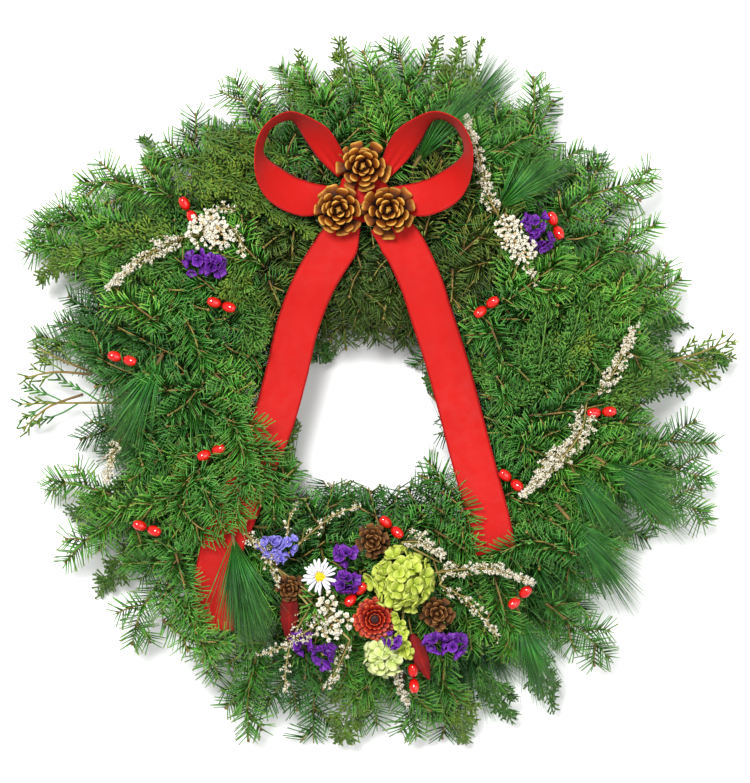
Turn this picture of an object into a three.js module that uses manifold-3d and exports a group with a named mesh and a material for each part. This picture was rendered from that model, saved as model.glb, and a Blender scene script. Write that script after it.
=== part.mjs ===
// Fresh evergreen wreath, 24 inch class, lying on its back: bunches of fir, white pine and cedar
// tied round a 14 inch double-rail wire ring, with a red ribbon bow, three open pine cones, paired
// red berries on wire picks, and a posy of dried flowers.
// Millimetres. +Z is the front of the wreath, +Y its top as hung, and the ring's cross ties lie
// at z = 0. Places round the wreath are clock angles: degrees clockwise from the top.
import * as THREE from "three";
import { mergeVertices } from "three/addons/utils/BufferGeometryUtils.js";
import Module from "manifold-3d";

const wasm = await Module();
wasm.setup();

// Ring frame and binding wire
const RAIL_OUTER_RADIUS = 178; // a 14 inch ring, measured to the wire's centre
const RAIL_INNER_RADIUS = 152;
const RAIL_WIRE_RADIUS = 1.6;
const RAIL_SEGMENTS = 24;
const RAIL_SIDES = 4;
const TIE_COUNT = 4;
const TIE_WIDTH = 8;
const TIE_THICKNESS = 2;
const TIE_OVERHANG = 2.4; // how far a tie runs past the middle of each rail
const RAIL_HEIGHT = TIE_THICKNESS - 0.3 + RAIL_WIRE_RADIUS;
const GAP = 0.3; // clearance between two pieces that touch
const BINDING_RADIUS = 0.5;
const BINDING_LOW = 0.7; // height of the binding wire where it passes under the rails

// Bunches: each is a bundle of cut stems on the ring, with its sprays
const BUNDLE_RADIUS_ON_RING = (RAIL_OUTER_RADIUS + RAIL_INNER_RADIUS) / 2;
const BUNDLE_WIDTH = 34; // it lies on both rails
const BUNDLE_DEPTH = 11;
const BUNDLE_FOOT = RAIL_HEIGHT + RAIL_WIRE_RADIUS + GAP;
const BUNDLE_HEIGHT = BUNDLE_FOOT + BUNDLE_DEPTH / 2;
const BUNDLE_TOP = BUNDLE_FOOT + BUNDLE_DEPTH;
const BUNCH_WIDTH_DEG = 22.5;
const BUNCH_MARGIN = 0.6; // each bunch stays this far inside its own sector
const BUNDLE_END_MARGIN = 1.6;
const LOWEST_LEAF = 2;

// Reach of each bunch from the ring's centre, and its greenery, going round the clock
const BUNCHES = [
  { clock: 16, kind: "pine", reach: 338, inner: 50 },
  { clock: 38.5, kind: "fir", reach: 318, inner: 50 },
  { clock: 61, kind: "fir", reach: 298, inner: 58 },
  { clock: 83.5, kind: "cedar", reach: 300, inner: 64, twig: 345 },
  { clock: 106, kind: "fir", reach: 322, inner: 64 },
  { clock: 128.5, kind: "pine", reach: 308, inner: 68 },
  { clock: 151, kind: "pine", reach: 318, inner: 76 },
  { clock: 173.5, kind: "fir", reach: 328, inner: 82 },
  { clock: 196, kind: "fir", reach: 332, inner: 86 },
  { clock: 218.5, kind: "pine", reach: 284, inner: 84 },
  { clock: 241, kind: "cedar", reach: 304, inner: 80 },
  { clock: 263.5, kind: "pine", reach: 276, inner: 78, twig: 328 },
  { clock: 286, kind: "fir", reach: 310, inner: 74 },
  { clock: 308.5, kind: "cedar", reach: 318, inner: 62 },
  { clock: 331, kind: "fir", reach: 296, inner: 50 },
  { clock: 353.5, kind: "fir", reach: 312, inner: 48 },
];

// The sprays of a bunch. Each follows a cubic curve from the bundle: two handles, then the tip.
// A handle is its share of the way from the ring to the tip, and its height. The turn is the clock
// angle off the bunch's own, at the foot and at the tip. The foot of each stem is bare.
const ROLES = [
  { turn: [-4, -7.2], handles: [[0.28, 42], [0.68, 40]], reach: 1, height: 16, bare: 0.32 },
  { turn: [4, 7], handles: [[0.28, 50], [0.68, 50]], reach: 0.95, height: 28, bare: 0.32 },
  { turn: [-9, 1], handles: [[-0.1, 72], [0.3, 100]], reach: 0.93, height: 44, bare: 0.2 },
  { turn: [10, -5], handles: [[-0.16, 70], [0.1, 92]], radius: 118, height: 60, bare: 0.24 },
  { turn: [-5, -1], handles: [[0.15, 66], [0.5, 70]], inner: true, height: 26, bare: 0.28 },
];

// Greenery: needle length, stretch of stem to each ring of needles, how far the needles lean
// forward along the stem, and the stem's radius at its foot and its end
const GREENERY = {
  fir: { length: 22, step: 12.8, forward: 1.05, lifts: [0.1, 0.6], stem: [2.6, 1.1], end: 12 },
  cedar: { length: 28, step: 13.4, forward: 1.3, lifts: [0.05, 0.25], stem: [2.2, 1.1], end: 14 },
  pine: { length: 84, step: 4.4, forward: 2.6, lifts: [0.3, -0.2], stem: [2.6, 1.7], end: 70 },
};
const PINE_TUFT_STEPS = 7;
const PINE_SHORTEN = 66; // the needles run on past the end of the stem
const SHORTEST_SHARE = 0.5; // a needle that must be cut shorter than this isn't grown
const PATH_TRIES = 8;
const SEED = 2411;

// The mound of greenery that the trimmings sit on
const MOUND = { radius: 170, halfWidth: 130, base: 30, rise: 60 };

// Ribbon and bow
const RIBBON_WIDTH = 38; // a number 9 ribbon
const RIBBON_THICKNESS = 0.8;
const KNOT = { x: -4, y: 176, z: 90, radius: 24, depth: 12 };
const NECK_WIDTH = 17;

// Trimmings: places are measured from the ring's centre, x to the right and y to the top
const BOW_CONES = [
  { x: -4.5, y: 200, radius: 21 },
  { x: -26, y: 161, radius: 20.5 },
  { x: 18, y: 161, radius: 21 },
];
const POSY_CONES = [
  { x: 4, y: -133, radius: 13.5 },
  { x: 64, y: -197, radius: 14 },
  { x: -73, y: -176, radius: 12, leafTip: [-71, -224, 84] },
];
const LEAF_THICKNESS = 1.4;
const BERRY = { length: 12.5, width: 9.6 };
// Each pair's middle, and the clock angle from its first berry to its second
const BERRY_PAIRS = [
  { x: -161, y: 163, turn: 150 },
  { x: -131, y: 78, turn: 108 },
  { x: -220, y: 30, turn: 106 },
  { x: -140, y: -54, turn: 68 },
  { x: -198, y: -122, turn: 110 },
  { x: 168, y: 149, turn: 156 },
  { x: 106, y: 76, turn: 232 },
  { x: 209, y: -18, turn: 86 },
  { x: 128, y: -79, turn: 130 },
  { x: 136, y: -184, turn: 226 },
  { x: 21, y: -121, turn: 132 },
  { x: -11, y: -181, turn: 222 },
  { x: 41, y: -257, turn: 176 },
];

const COLOURS = {
  frame: 0x2f4a2c,
  binding: 0x3b5534,
  fir: 0x1f6b2c,
  pine: 0x2b7a3a,
  cedar: 0x5c8f2e,
  ribbon: 0xd8141c,
  cone: 0x8a5a25,
  darkCone: 0x5a3418,
  berry: 0xd01412,
  petalWhite: 0xf2f0ea,
  strawflower: 0xa3301a,
  hydrangea: 0xb9cc63,
  violet: 0x5a52b8,
  purple: 0x4a1f96,
  cream: 0xe8e2c6,
  leafRed: 0x7d1a14,
};

// Vectors and places
const V = (x, y, z) => new THREE.Vector3(x, y, z);
const UP = V(0, 0, 1);
const radians = THREE.MathUtils.degToRad;
const clamp = THREE.MathUtils.clamp;
const clockDirection = (degrees) => V(Math.sin(radians(degrees)), Math.cos(radians(degrees)), 0);
const clockPoint = (radius, degrees, z) => clockDirection(degrees).multiplyScalar(radius).setZ(z);
const clockOf = (x, y) => THREE.MathUtils.radToDeg(Math.atan2(x, y));
const signedTurn = (from, to) => ((((to - from) % 360) + 540) % 360) - 180;

function moundHeight(x, y) {
  const off = (Math.hypot(x, y) - MOUND.radius) / MOUND.halfWidth;
  return MOUND.base + MOUND.rise * Math.sqrt(Math.max(0, 1 - off * off));
}

// A repeatable stream of numbers from 0 to 1
function drawer(seed) {
  let state = seed;
  return () => {
    state = (state * 1664525 + 1013904223) % 4294967296;
    return state / 4294967296;
  };
}

function squareTo(direction, tangent) {
  return direction.clone().addScaledVector(tangent, -direction.dot(tangent)).normalize();
}

// Solids
function solid(vertices, triangles) {
  const vertProperties = new Float32Array(vertices.flatMap((p) => [p.x, p.y, p.z]));
  const triVerts = new Uint32Array(triangles.flat());
  return new wasm.Manifold(new wasm.Mesh({ numProp: 3, vertProperties, triVerts }));
}

function solidOf(geometry) {
  const bare = geometry.index ? geometry.toNonIndexed() : geometry.clone();
  bare.deleteAttribute("normal");
  bare.deleteAttribute("uv");
  const merged = mergeVertices(bare, 1e-3);
  const vertProperties = merged.getAttribute("position").array;
  const triVerts = new Uint32Array(merged.index.array);
  return new wasm.Manifold(new wasm.Mesh({ numProp: 3, vertProperties, triVerts }));
}

const union = (solids) => wasm.Manifold.union(solids);

// A ring of points round a place on a path, from its side direction on round the tangent
function ringOf(centre, tangent, side, radius, sides) {
  const normal = tangent.clone().cross(side).normalize();
  return Array.from({ length: sides }, (_, k) => {
    const turn = (2 * Math.PI * k) / sides;
    return centre
      .clone()
      .addScaledVector(side, radius * Math.cos(turn))
      .addScaledVector(normal, radius * Math.sin(turn));
  });
}

// Grows a form out of a four-cornered face: through a ring of four or eight corners, if it has
// one, to a point
function growFace(vertices, triangles, base, { ring, point }) {
  let rim = base;
  if (ring) {
    rim = ring.map((p) => vertices.push(p) - 1);
    const step = ring.length / 4;
    for (let k = 0; k < 4; k++) {
      const [a, b] = [base[k], base[(k + 1) % 4]];
      const [c, d] = [rim[k * step], rim[((k + 1) % 4) * step]];
      if (step === 1) triangles.push([a, b, d], [a, d, c]);
      else triangles.push([a, b, rim[2 * k + 1]], [a, rim[2 * k + 1], c], [b, d, rim[2 * k + 1]]);
    }
  }
  const tip = vertices.push(point) - 1;
  rim.forEach((corner, k) => triangles.push([corner, rim[(k + 1) % rim.length], tip]));
}

// A closed skin over rings of points. A face may be grown, and the end may run to a point.
function skin(rings, { grown = () => null, end = null } = {}) {
  const sides = rings[0].length;
  const vertices = rings.flat();
  const triangles = [];
  for (let i = 0; i + 1 < rings.length; i++)
    for (let k = 0; k < sides; k++) {
      const [a, b] = [i * sides + k, i * sides + ((k + 1) % sides)];
      const base = [a, b, b + sides, a + sides];
      const form = grown(i, k, base.map((corner) => vertices[corner]));
      if (form) growFace(vertices, triangles, base, form);
      else triangles.push([a, b, b + sides], [a, b + sides, a + sides]);
    }
  capEnd(vertices, triangles, 0, sides, null, true);
  capEnd(vertices, triangles, (rings.length - 1) * sides, sides, end, false);
  return solid(vertices, triangles);
}

function capEnd(vertices, triangles, first, sides, point, reversed) {
  const add = (a, b, c) => triangles.push(reversed ? [a, c, b] : [a, b, c]);
  if (point) {
    const tip = vertices.push(point) - 1;
    for (let k = 0; k < sides; k++) add(first + k, first + ((k + 1) % sides), tip);
  } else {
    for (let k = 1; k + 1 < sides; k++) add(first, first + k, first + k + 1);
  }
}

function closedTube(rings) {
  const sides = rings[0].length;
  const triangles = [];
  for (let i = 0; i < rings.length; i++)
    for (let k = 0; k < sides; k++) {
      const next = (i + 1) % rings.length;
      const [a, b] = [i * sides + k, i * sides + ((k + 1) % sides)];
      const [c, d] = [next * sides + k, next * sides + ((k + 1) % sides)];
      triangles.push([a, b, d], [a, d, c]);
    }
  return solid(rings.flat(), triangles);
}

function rod(from, to, radius, sides = 3) {
  const tangent = to.clone().sub(from).normalize();
  const side = squareTo(Math.abs(tangent.z) > 0.9 ? V(0, 1, 0) : UP, tangent);
  return skin([from, to].map((p) => ringOf(p, tangent, side, radius, sides)));
}

// A bent wire through some places
function wire(places, radius) {
  const rings = places.map((p, i) => {
    const before = places[Math.max(0, i - 1)];
    const after = places[Math.min(places.length - 1, i + 1)];
    const tangent = after.clone().sub(before).normalize();
    return ringOf(p, tangent, squareTo(V(0.3, 0.2, 1), tangent), radius, 3);
  });
  return skin(rings);
}

// Rooms: the space round a trimming that the greenery leaves free, as capsules
const SPOT = V(0, 0, 0);
const roomAlong = (from, to, radius) => ({ line: new THREE.Line3(from, to), radius });
const roomAt = (centre, radius) => roomAlong(centre, centre, radius);
const insideRoom = (p, spare) => ({ line, radius }) =>
  line.closestPointToPoint(p, true, SPOT).distanceTo(p) < radius + spare;

// The ring frame: two rails on flat cross ties
function ringFrame() {
  const rail = (radius) => {
    const profile = Array.from({ length: RAIL_SIDES + 1 }, (_, k) => {
      const turn = (2 * Math.PI * (k % RAIL_SIDES)) / RAIL_SIDES;
      const x = radius + RAIL_WIRE_RADIUS * Math.cos(turn);
      return new THREE.Vector2(x, RAIL_WIRE_RADIUS * Math.sin(turn));
    });
    const lathe = new THREE.LatheGeometry(profile, RAIL_SEGMENTS);
    return solidOf(lathe.rotateX(Math.PI / 2).translate(0, 0, RAIL_HEIGHT));
  };
  const length = RAIL_OUTER_RADIUS - RAIL_INNER_RADIUS + 2 * TIE_OVERHANG;
  const ties = Array.from({ length: TIE_COUNT }, (_, i) => {
    const tie = new THREE.BoxGeometry(TIE_WIDTH, length, TIE_THICKNESS);
    tie.translate(0, BUNDLE_RADIUS_ON_RING, TIE_THICKNESS / 2);
    return solidOf(tie.rotateZ(-radians(BUNCHES[4 * i].clock)));
  });
  return union([rail(RAIL_OUTER_RADIUS), rail(RAIL_INNER_RADIUS), ...ties]);
}

// The binding wire: one closed length that turns round the rails and the stems between every
// second pair of bunches, and runs on between the rails, over a tie, to the next turn
function bindingWire() {
  const half = BUNDLE_WIDTH / 2 + 2 * BINDING_RADIUS;
  const top = BUNDLE_TOP + 1.5 * BINDING_RADIUS;
  const places = [
    { r: 0, z: 2.4, turn: -0.5 },
    { r: half * 0.86, z: BINDING_LOW, turn: -0.3 },
    { r: half, z: BUNDLE_HEIGHT, turn: -0.2 },
    { r: half * 0.6, z: top, turn: -0.1 },
    { r: -half * 0.6, z: top, turn: 0.1 },
    { r: -half, z: BUNDLE_HEIGHT, turn: 0.2 },
    { r: -half * 0.86, z: BINDING_LOW, turn: 0.3 },
    { r: 0, z: 2.4, turn: 0.5 },
    { r: 0, z: 3.4, turn: BUNCH_WIDTH_DEG / 2 },
    { r: 0, z: 3.4, turn: BUNCH_WIDTH_DEG * 1.5 },
  ];
  const path = BUNCHES.filter((_, i) => i % 2 === 0).flatMap(({ clock }) =>
    places.map(({ r, z, turn }) =>
      clockPoint(BUNDLE_RADIUS_ON_RING + r, clock + BUNCH_WIDTH_DEG / 2 + turn, z),
    ),
  );
  const count = path.length;
  const tangents = path.map((_, i) => path[(i + 1) % count].clone().sub(path.at(i - 1)).normalize());
  // The side is carried round with no twist, and what it is off by at the join is spread evenly
  const sides = [squareTo(UP, tangents[0])];
  for (let i = 1; i <= count; i++) sides.push(squareTo(sides[i - 1], tangents[i % count]));
  const off = sides[count].clone().cross(sides[0]).dot(tangents[0]);
  const twist = Math.atan2(off, sides[count].dot(sides[0])) / count;
  const rings = path.map((at, i) => {
    const side = sides[i].applyAxisAngle(tangents[i], twist * i);
    return ringOf(at, tangents[i], side, BINDING_RADIUS, 3);
  });
  return closedTube(rings);
}

// The cut stems of a bunch, tied along the ring
function stemBundle(bunch) {
  const halfAngle = BUNCH_WIDTH_DEG / 2 - THREE.MathUtils.radToDeg(
    BUNDLE_END_MARGIN / (BUNDLE_RADIUS_ON_RING - BUNDLE_WIDTH / 2),
  );
  const outline = [[-1, 0], [-0.84, -1], [0.84, -1], [1, 0], [0.6, 1], [-0.6, 1]];
  const rings = [-1, 0, 1].map((share) => {
    const clock = bunch.clock + share * halfAngle;
    const bulge = share === 0 ? 2.4 : 0; // keeps the flats over the round rails
    return outline.map(([r, z]) =>
      clockPoint(
        BUNDLE_RADIUS_ON_RING + bulge + (r * BUNDLE_WIDTH) / 2,
        clock,
        BUNDLE_HEIGHT + (z * BUNDLE_DEPTH) / 2,
      ),
    );
  });
  return skin(rings);
}

// Sprays
function sprayPath(bunch, role, draw) {
  const jitter = (amount) => (2 * draw() - 1) * amount;
  const outward = role.reach || role.radius > BUNDLE_RADIUS_ON_RING;
  let tipRadius = role.radius ?? bunch.inner;
  if (role.reach) tipRadius = role.reach * bunch.reach - GREENERY[bunch.kind].end - 3 * draw();
  if (bunch.kind === "pine" && outward) tipRadius -= PINE_SHORTEN - GREENERY.pine.end + 12;
  if (bunch.kind === "pine" && !outward) tipRadius += PINE_SHORTEN * 0.45;
  const [from, to] = role.turn;
  const handle = ([share, height], turn) => {
    const radius = BUNDLE_RADIUS_ON_RING + share * (tipRadius - BUNDLE_RADIUS_ON_RING);
    return clockPoint(radius, bunch.clock + turn + jitter(1.8), height + jitter(5));
  };
  return new THREE.CubicBezierCurve3(
    clockPoint(BUNDLE_RADIUS_ON_RING, bunch.clock + from / 2, BUNDLE_HEIGHT),
    handle(role.handles[0], from),
    handle(role.handles[1], (from + to) / 2),
    clockPoint(tipRadius, bunch.clock + to + jitter(1.6), role.height + jitter(5)),
  );
}

// Tries a few paths and keeps the one that stays furthest from everything placed so far
function clearestPath(bunch, role, draw, rooms) {
  let best = null;
  for (let i = 0; i < PATH_TRIES; i++) {
    const path = sprayPath(bunch, role, draw);
    const points = path.getSpacedPoints(24).slice(6);
    const clearance = Math.min(
      12,
      ...points.flatMap((p) =>
        rooms.map(({ line, radius }) =>
          line.closestPointToPoint(p, true, SPOT).distanceTo(p) - radius),
      ),
    );
    if (!best || clearance > best.clearance) best = { path, clearance };
    if (clearance >= 6) break;
  }
  return best.path;
}

const inSector = (bunch, p) => {
  const off = Math.abs(signedTurn(bunch.clock, clockOf(p.x, p.y)));
  const toEdge = Math.hypot(p.x, p.y) * Math.sin(radians(BUNCH_WIDTH_DEG / 2 - off));
  const overRing = Math.abs(Math.hypot(p.x, p.y) - BUNDLE_RADIUS_ON_RING) < BUNDLE_WIDTH / 2;
  const lowest = overRing ? BUNDLE_FOOT + 1 : LOWEST_LEAF;
  return off < BUNCH_WIDTH_DEG / 2 && toEdge >= BUNCH_MARGIN && p.z >= lowest;
};

// The end of a needle, cut short where it would leave its sector or meet something
function needleEnd(bunch, from, to, rooms) {
  const steps = Math.ceil(from.distanceTo(to) / 3);
  let reached = 0;
  for (let i = 1; i <= steps; i++) {
    const p = from.clone().lerp(to, i / steps);
    const half = 0.5 + 1.7 * (1 - i / steps); // the needle is thick at its root
    if (i > 1 && (!inSector(bunch, p) || rooms.some(insideRoom(p, half)))) break;
    reached = i / steps;
  }
  return reached < SHORTEST_SHARE ? null : from.clone().lerp(to, reached);
}

// One spray: a stem of three faces, its upper two faces grown into needles ring after ring
function spray(bunch, role, path, draw, rooms) {
  const form = GREENERY[bunch.kind];
  const outward = Math.hypot(path.v3.x, path.v3.y) > BUNDLE_RADIUS_ON_RING;
  const sideways = clockDirection(bunch.clock + (outward ? 90 : -90));
  const length = path.getLength();
  const pine = bunch.kind === "pine";
  const bare = pine ? 1 - (PINE_TUFT_STEPS * form.step) / length : role.bare;
  const count = pine ? PINE_TUFT_STEPS : Math.round(((1 - bare) * length) / form.step);
  const shares = [0, ...Array.from({ length: count + 1 }, (_, i) =>
    Math.min(1, bare + ((1 - bare) * i) / count))];
  const frames = shares.map((share) => {
    const tangent = path.getTangentAt(share);
    const across = squareTo(sideways, tangent);
    return { share, tangent, across, facing: across.clone().cross(tangent) };
  });
  const rings = frames.map(({ share, tangent, facing }) => {
    const radius = form.stem[0] + (form.stem[1] - form.stem[0]) * share;
    return ringOf(path.getPointAt(share), tangent, facing.clone().negate(), radius, 3);
  });
  const placed = [];
  const grown = (i, k, corners) => {
    if (i < 1 || (k === 1 && !pine && (i % 2 || bunch.kind === "cedar"))) return null;
    const { share, tangent, across, facing } = frames[i];
    const hand = [-1, i % 4 ? 0.35 : -0.35, 1][k];
    const lift = k === 1 ? 0.8 : form.lifts[(i + (k === 2 ? 1 : 0)) % 2] + 0.15 * draw();
    const fan = 1.5 - (1.3 * (i - 1 + 0.5 * draw())) / count; // the first needles spread most
    const wide = (pine ? fan : 1) * hand;
    const aim = tangent.clone().multiplyScalar(form.forward);
    aim.addScaledVector(across, wide).addScaledVector(facing, lift).normalize();
    const root = corners.reduce((sum, p) => sum.add(p), V(0, 0, 0)).multiplyScalar(0.25);
    const taper = pine ? 0.8 + 0.2 * draw() : 1 - 0.35 * Math.max(0, share - 0.55) - 0.1 * draw();
    const to = root.clone().addScaledVector(aim, form.length * taper);
    const point = needleEnd(bunch, root, to, rooms);
    if (point) placed.push(roomAlong(root.clone().lerp(point, 0.2), point, 1.5));
    return point ? { point } : null;
  };
  const last = frames.at(-1);
  const tip = rings.at(-1)[0].clone().addScaledVector(last.tangent, form.end);
  const end = needleEnd(bunch, rings.at(-1)[0], tip, rooms);
  const made = skin(rings, { grown, end });
  const stemRooms = frames.slice(1).map(({ share }) => roomAt(path.getPointAt(share), 3.4));
  return { made, rooms: [...placed, ...stemRooms] };
}

// A long thin twig with short side twigs
function barkTwig(bunch, rooms) {
  const clock = bunch.clock + (bunch.kind === "cedar" ? 1 : 4.5);
  const path = new THREE.CubicBezierCurve3(
    clockPoint(BUNDLE_RADIUS_ON_RING, clock - 1, BUNDLE_HEIGHT),
    clockPoint(205, clock - 1, 34),
    clockPoint(bunch.twig - 70, clock, 26),
    clockPoint(bunch.twig - 12, clock, 22),
  );
  const shares = [0, 0.35, 0.62, 0.66, 0.74, 0.78, 0.86, 0.9, 1];
  const frames = shares.map((share) => {
    const tangent = path.getTangentAt(share);
    const across = squareTo(clockDirection(bunch.clock + 90), tangent);
    return { share, tangent, across, facing: across.clone().cross(tangent) };
  });
  const rings = frames.map(({ share, tangent, facing }) =>
    ringOf(path.getPointAt(share), tangent, facing, 2.3 - 1.3 * share, 3),
  );
  const placed = [];
  const grown = (i, k, corners) => {
    const bears = i >= 2 && i % 2 === 0 && k === (i % 4 ? 0 : 2);
    if (!bears) return null;
    const { tangent, across } = frames[i];
    const aim = tangent.clone().addScaledVector(across, k === 0 ? 0.7 : -0.7).normalize();
    const to = corners[0].clone().addScaledVector(aim, 40);
    const point = needleEnd(bunch, corners[0], to, rooms);
    if (point) placed.push(roomAlong(corners[0].clone().lerp(point, 0.15), point, 1.5));
    return point ? { point } : null;
  };
  const end = rings.at(-1)[0].clone().addScaledVector(frames.at(-1).tangent, 12);
  const stemRooms = frames.slice(1).map(({ share }, i) =>
    roomAlong(path.getPointAt(frames[i].share), path.getPointAt(share), 2.4),
  );
  return { made: skin(rings, { grown, end }), rooms: [...placed, ...stemRooms.slice(1)] };
}

function greenery(bunch, index, trimmingRooms) {
  const draw = drawer(SEED + 97 * index);
  const near = trimmingRooms.filter(({ line }) => {
    const turn = Math.min(
      Math.abs(signedTurn(bunch.clock, clockOf(line.start.x, line.start.y))),
      Math.abs(signedTurn(bunch.clock, clockOf(line.end.x, line.end.y))),
    );
    return turn < 40;
  });
  const rooms = [...near];
  const twigs = [];
  if (bunch.twig) {
    const { made, rooms: taken } = barkTwig(bunch, rooms);
    rooms.push(...taken);
    twigs.push(made);
  }
  const pieces = ROLES.map((role) => {
    const path = clearestPath(bunch, role, draw, rooms);
    const { made, rooms: taken } = spray(bunch, role, path, draw, rooms);
    rooms.push(...taken);
    return made;
  });
  return union([stemBundle(bunch), ...twigs, ...pieces]);
}

// Cuts a bunch clear of the few trimmings that it still touches, and drops what falls off
function cutClear(bunch, items) {
  let made = bunch;
  for (const item of items)
    if (made.minGap(item.solid, 1) < GAP * 0.8) {
      const met = (room) => made.intersect(room).volume() > 0;
      const cut = item.cut ?? union(item.rooms.map(roomSolid).filter(met));
      made = largestBody(made.subtract(cut));
    }
  return made;
}

function roomSolid({ line, radius }) {
  if (line.distance() < 1) {
    const ball = new THREE.IcosahedronGeometry(radius, 1);
    return solidOf(ball.translate(line.start.x, line.start.y, line.start.z));
  }
  return rod(line.start, line.end, radius, 6);
}

function largestBody(made) {
  return made.decompose().reduce((best, body) => (body.volume() > best.volume() ? body : best));
}

// Ribbon: a strip along a smooth curve, its width turned as each station says
function ribbonStrip(stations, steps) {
  const curve = new THREE.CatmullRomCurve3(stations.map((s) => V(...s.at)));
  const widthCurve = new THREE.CatmullRomCurve3(stations.map((s) => V(...s.across)));
  const sizeCurve = new THREE.CatmullRomCurve3(stations.map((s) => V(s.wide, 0, 0)));
  const frames = Array.from({ length: steps + 1 }, (_, i) => {
    const centre = curve.getPoint(i / steps);
    const tangent = curve.getTangent(i / steps);
    const across = squareTo(widthCurve.getPoint(i / steps), tangent);
    const half = sizeCurve.getPoint(i / steps).x / 2;
    return { centre, across, facing: tangent.clone().cross(across), half };
  });
  const rings = (spare) =>
    frames.map(({ centre, across, facing, half }) =>
      [[1, 1], [-1, 1], [-1, -1], [1, -1]].map(([a, f]) =>
        centre
          .clone()
          .addScaledVector(across, a * (half + spare))
          .addScaledVector(facing, f * (RIBBON_THICKNESS / 2 + spare)),
      ),
    );
  const edges = frames.map(({ centre, across, half }) => [
    centre.clone().addScaledVector(across, -half),
    centre.clone().addScaledVector(across, half),
  ]);
  const rooms = edges.slice(1).flatMap(([left, right], i) => {
    const [lastLeft, lastRight] = edges[i];
    return [1, 2, 3, 4, 5, 6].map((step) =>
      roomAlong(lastLeft.clone().lerp(left, step / 6), lastRight.clone().lerp(right, step / 6), 2.6),
    );
  });
  return { solid: skin(rings(0)), cut: skin(rings(0.7)), rooms };
}

// A bow loop that leaves the knot low, turns over and comes back high. hand is -1 on the left
function loopStations(hand) {
  const at = (x, y, z) => [KNOT.x + hand * x, KNOT.y + y, KNOT.z + z];
  const clear = KNOT.radius + 1;
  const high = (clear + 1.6) * Math.SQRT1_2;
  return [
    { at: at(clear, -1, 1), across: [0, -1, 0.05], wide: NECK_WIDTH },
    { at: at(54, -3, 8), across: [0.1 * hand, -0.9, 0.35], wide: RIBBON_WIDTH * 0.92 },
    { at: at(78, 9, 15), across: [0.5 * hand, -0.6, 0.65], wide: RIBBON_WIDTH },
    { at: at(93, 37, 19), across: [0.3 * hand, -0.05, 0.95], wide: RIBBON_WIDTH },
    { at: at(84, 61, 19), across: [0.15 * hand, 0.15, 0.97], wide: RIBBON_WIDTH },
    { at: at(64, 70, 18), across: [0, 0.25, 0.97], wide: RIBBON_WIDTH },
    { at: at(44, 56, 14), across: [-0.35 * hand, 0.35, 0.87], wide: RIBBON_WIDTH },
    { at: at(31, 38, 7), across: [-0.55 * hand, 0.4, 0.6], wide: RIBBON_WIDTH * 0.75 },
    { at: at(high, high, 0), across: [-0.6 * hand, 0.6, 0.4], wide: NECK_WIDTH * 0.7 },
  ];
}

// A bow tail: x, y, height and the turn of its width, from under the knot to its cut end
const tailStations = (places) =>
  places.map(([x, y, z, turn], i) => ({
    at: [x, y, z],
    across: [Math.cos(radians(turn)), Math.sin(radians(turn)), 0],
    wide: i === 0 ? NECK_WIDTH : RIBBON_WIDTH,
  }));
const LEFT_TAIL = [
  [-13.5, 151.3, 90, -32],
  [-28, 131, 88, -34],
  [-48, 98, 84, -24],
  [-63, 60, 76, -15],
  [-73, 18, 70, -12],
  [-84, -22, 70, -22],
  [-98, -58, 76, -22],
  [-114, -98, 84, -20],
  [-131, -141, 86, -14],
  [-138, -180, 84, -6],
  [-139, -214, 80, -2],
];
const RIGHT_TAIL = [
  [7.2, 150.4, 90, 30],
  [27, 137, 88, 38],
  [45, 104, 84, 24],
  [58, 66, 76, 16],
  [71, 26, 70, 16],
  [82, -14, 70, 15],
  [91, -50, 80, 14],
  [100, -84, 90, 13],
  [108, -115, 92, 13],
  [114, -143, 90, 13],
];

// A pick: the wire that holds a trimming, down on to the tied stems
function pickEnd(x, y) {
  const clock = clockOf(x, y);
  const nearest = BUNCHES.reduce((best, bunch) =>
    Math.abs(signedTurn(bunch.clock, clock)) < Math.abs(signedTurn(best.clock, clock)) ? bunch : best,
  );
  const kept = clamp(signedTurn(nearest.clock, clock), -9, 9);
  const out = clamp((Math.hypot(x, y) - BUNDLE_RADIUS_ON_RING) * 0.12, -7, 7);
  return clockPoint(BUNDLE_RADIUS_ON_RING + 1.2 + out, nearest.clock + kept, BUNDLE_TOP + GAP);
}

// A trimming on its pick: the solid, and the rooms that the greenery leaves for it
function onPick(parts, rooms, head, pickRadius = 0.9) {
  const end = pickEnd(head.x, head.y);
  const foot = end.clone().setZ(end.z + 7);
  const past = end.clone().setZ(end.z - GAP * 0.8);
  const spare = pickRadius + 1;
  return {
    solid: union([...parts, wire([head, foot, end], pickRadius)]),
    rooms: [...rooms, roomAlong(head, foot, spare), roomAt(foot, spare), roomAlong(foot, past, spare)],
  };
}

// A body whose faces grow into scales, petals or florets, row after row. A row gives the radius
// and height where it starts; its forms reach out from there, and lift towards the front.
function rosette(head, rows, { sides, twist = 0, top, form, foot = null }) {
  const ringAt = (centre, radius, i) =>
    Array.from({ length: sides }, (_, k) => {
      const turn = (2 * Math.PI * (k + twist * i)) / sides;
      return centre.clone().add(V(radius * Math.cos(turn), radius * Math.sin(turn), 0));
    });
  const rings = rows.map(({ radius, height }, i) =>
    ringAt(head.clone().setZ(head.z + height), radius, i),
  );
  if (foot) rings.unshift(ringAt(head.clone().add(foot), 1.1, 0));
  const grown = (i, k, corners) => {
    const row = rows[foot ? i - 1 : i];
    if (!row?.reach) return null;
    const root = corners.reduce((sum, p) => sum.add(p), V(0, 0, 0)).multiplyScalar(0.25);
    const out = root.clone().sub(head).setZ(0).normalize();
    const aim = out.clone().addScaledVector(UP, row.lift).normalize();
    return form(root, aim, out, row, k);
  };
  return skin(rings, { grown, end: head.clone().setZ(head.z + top) });
}

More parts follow.
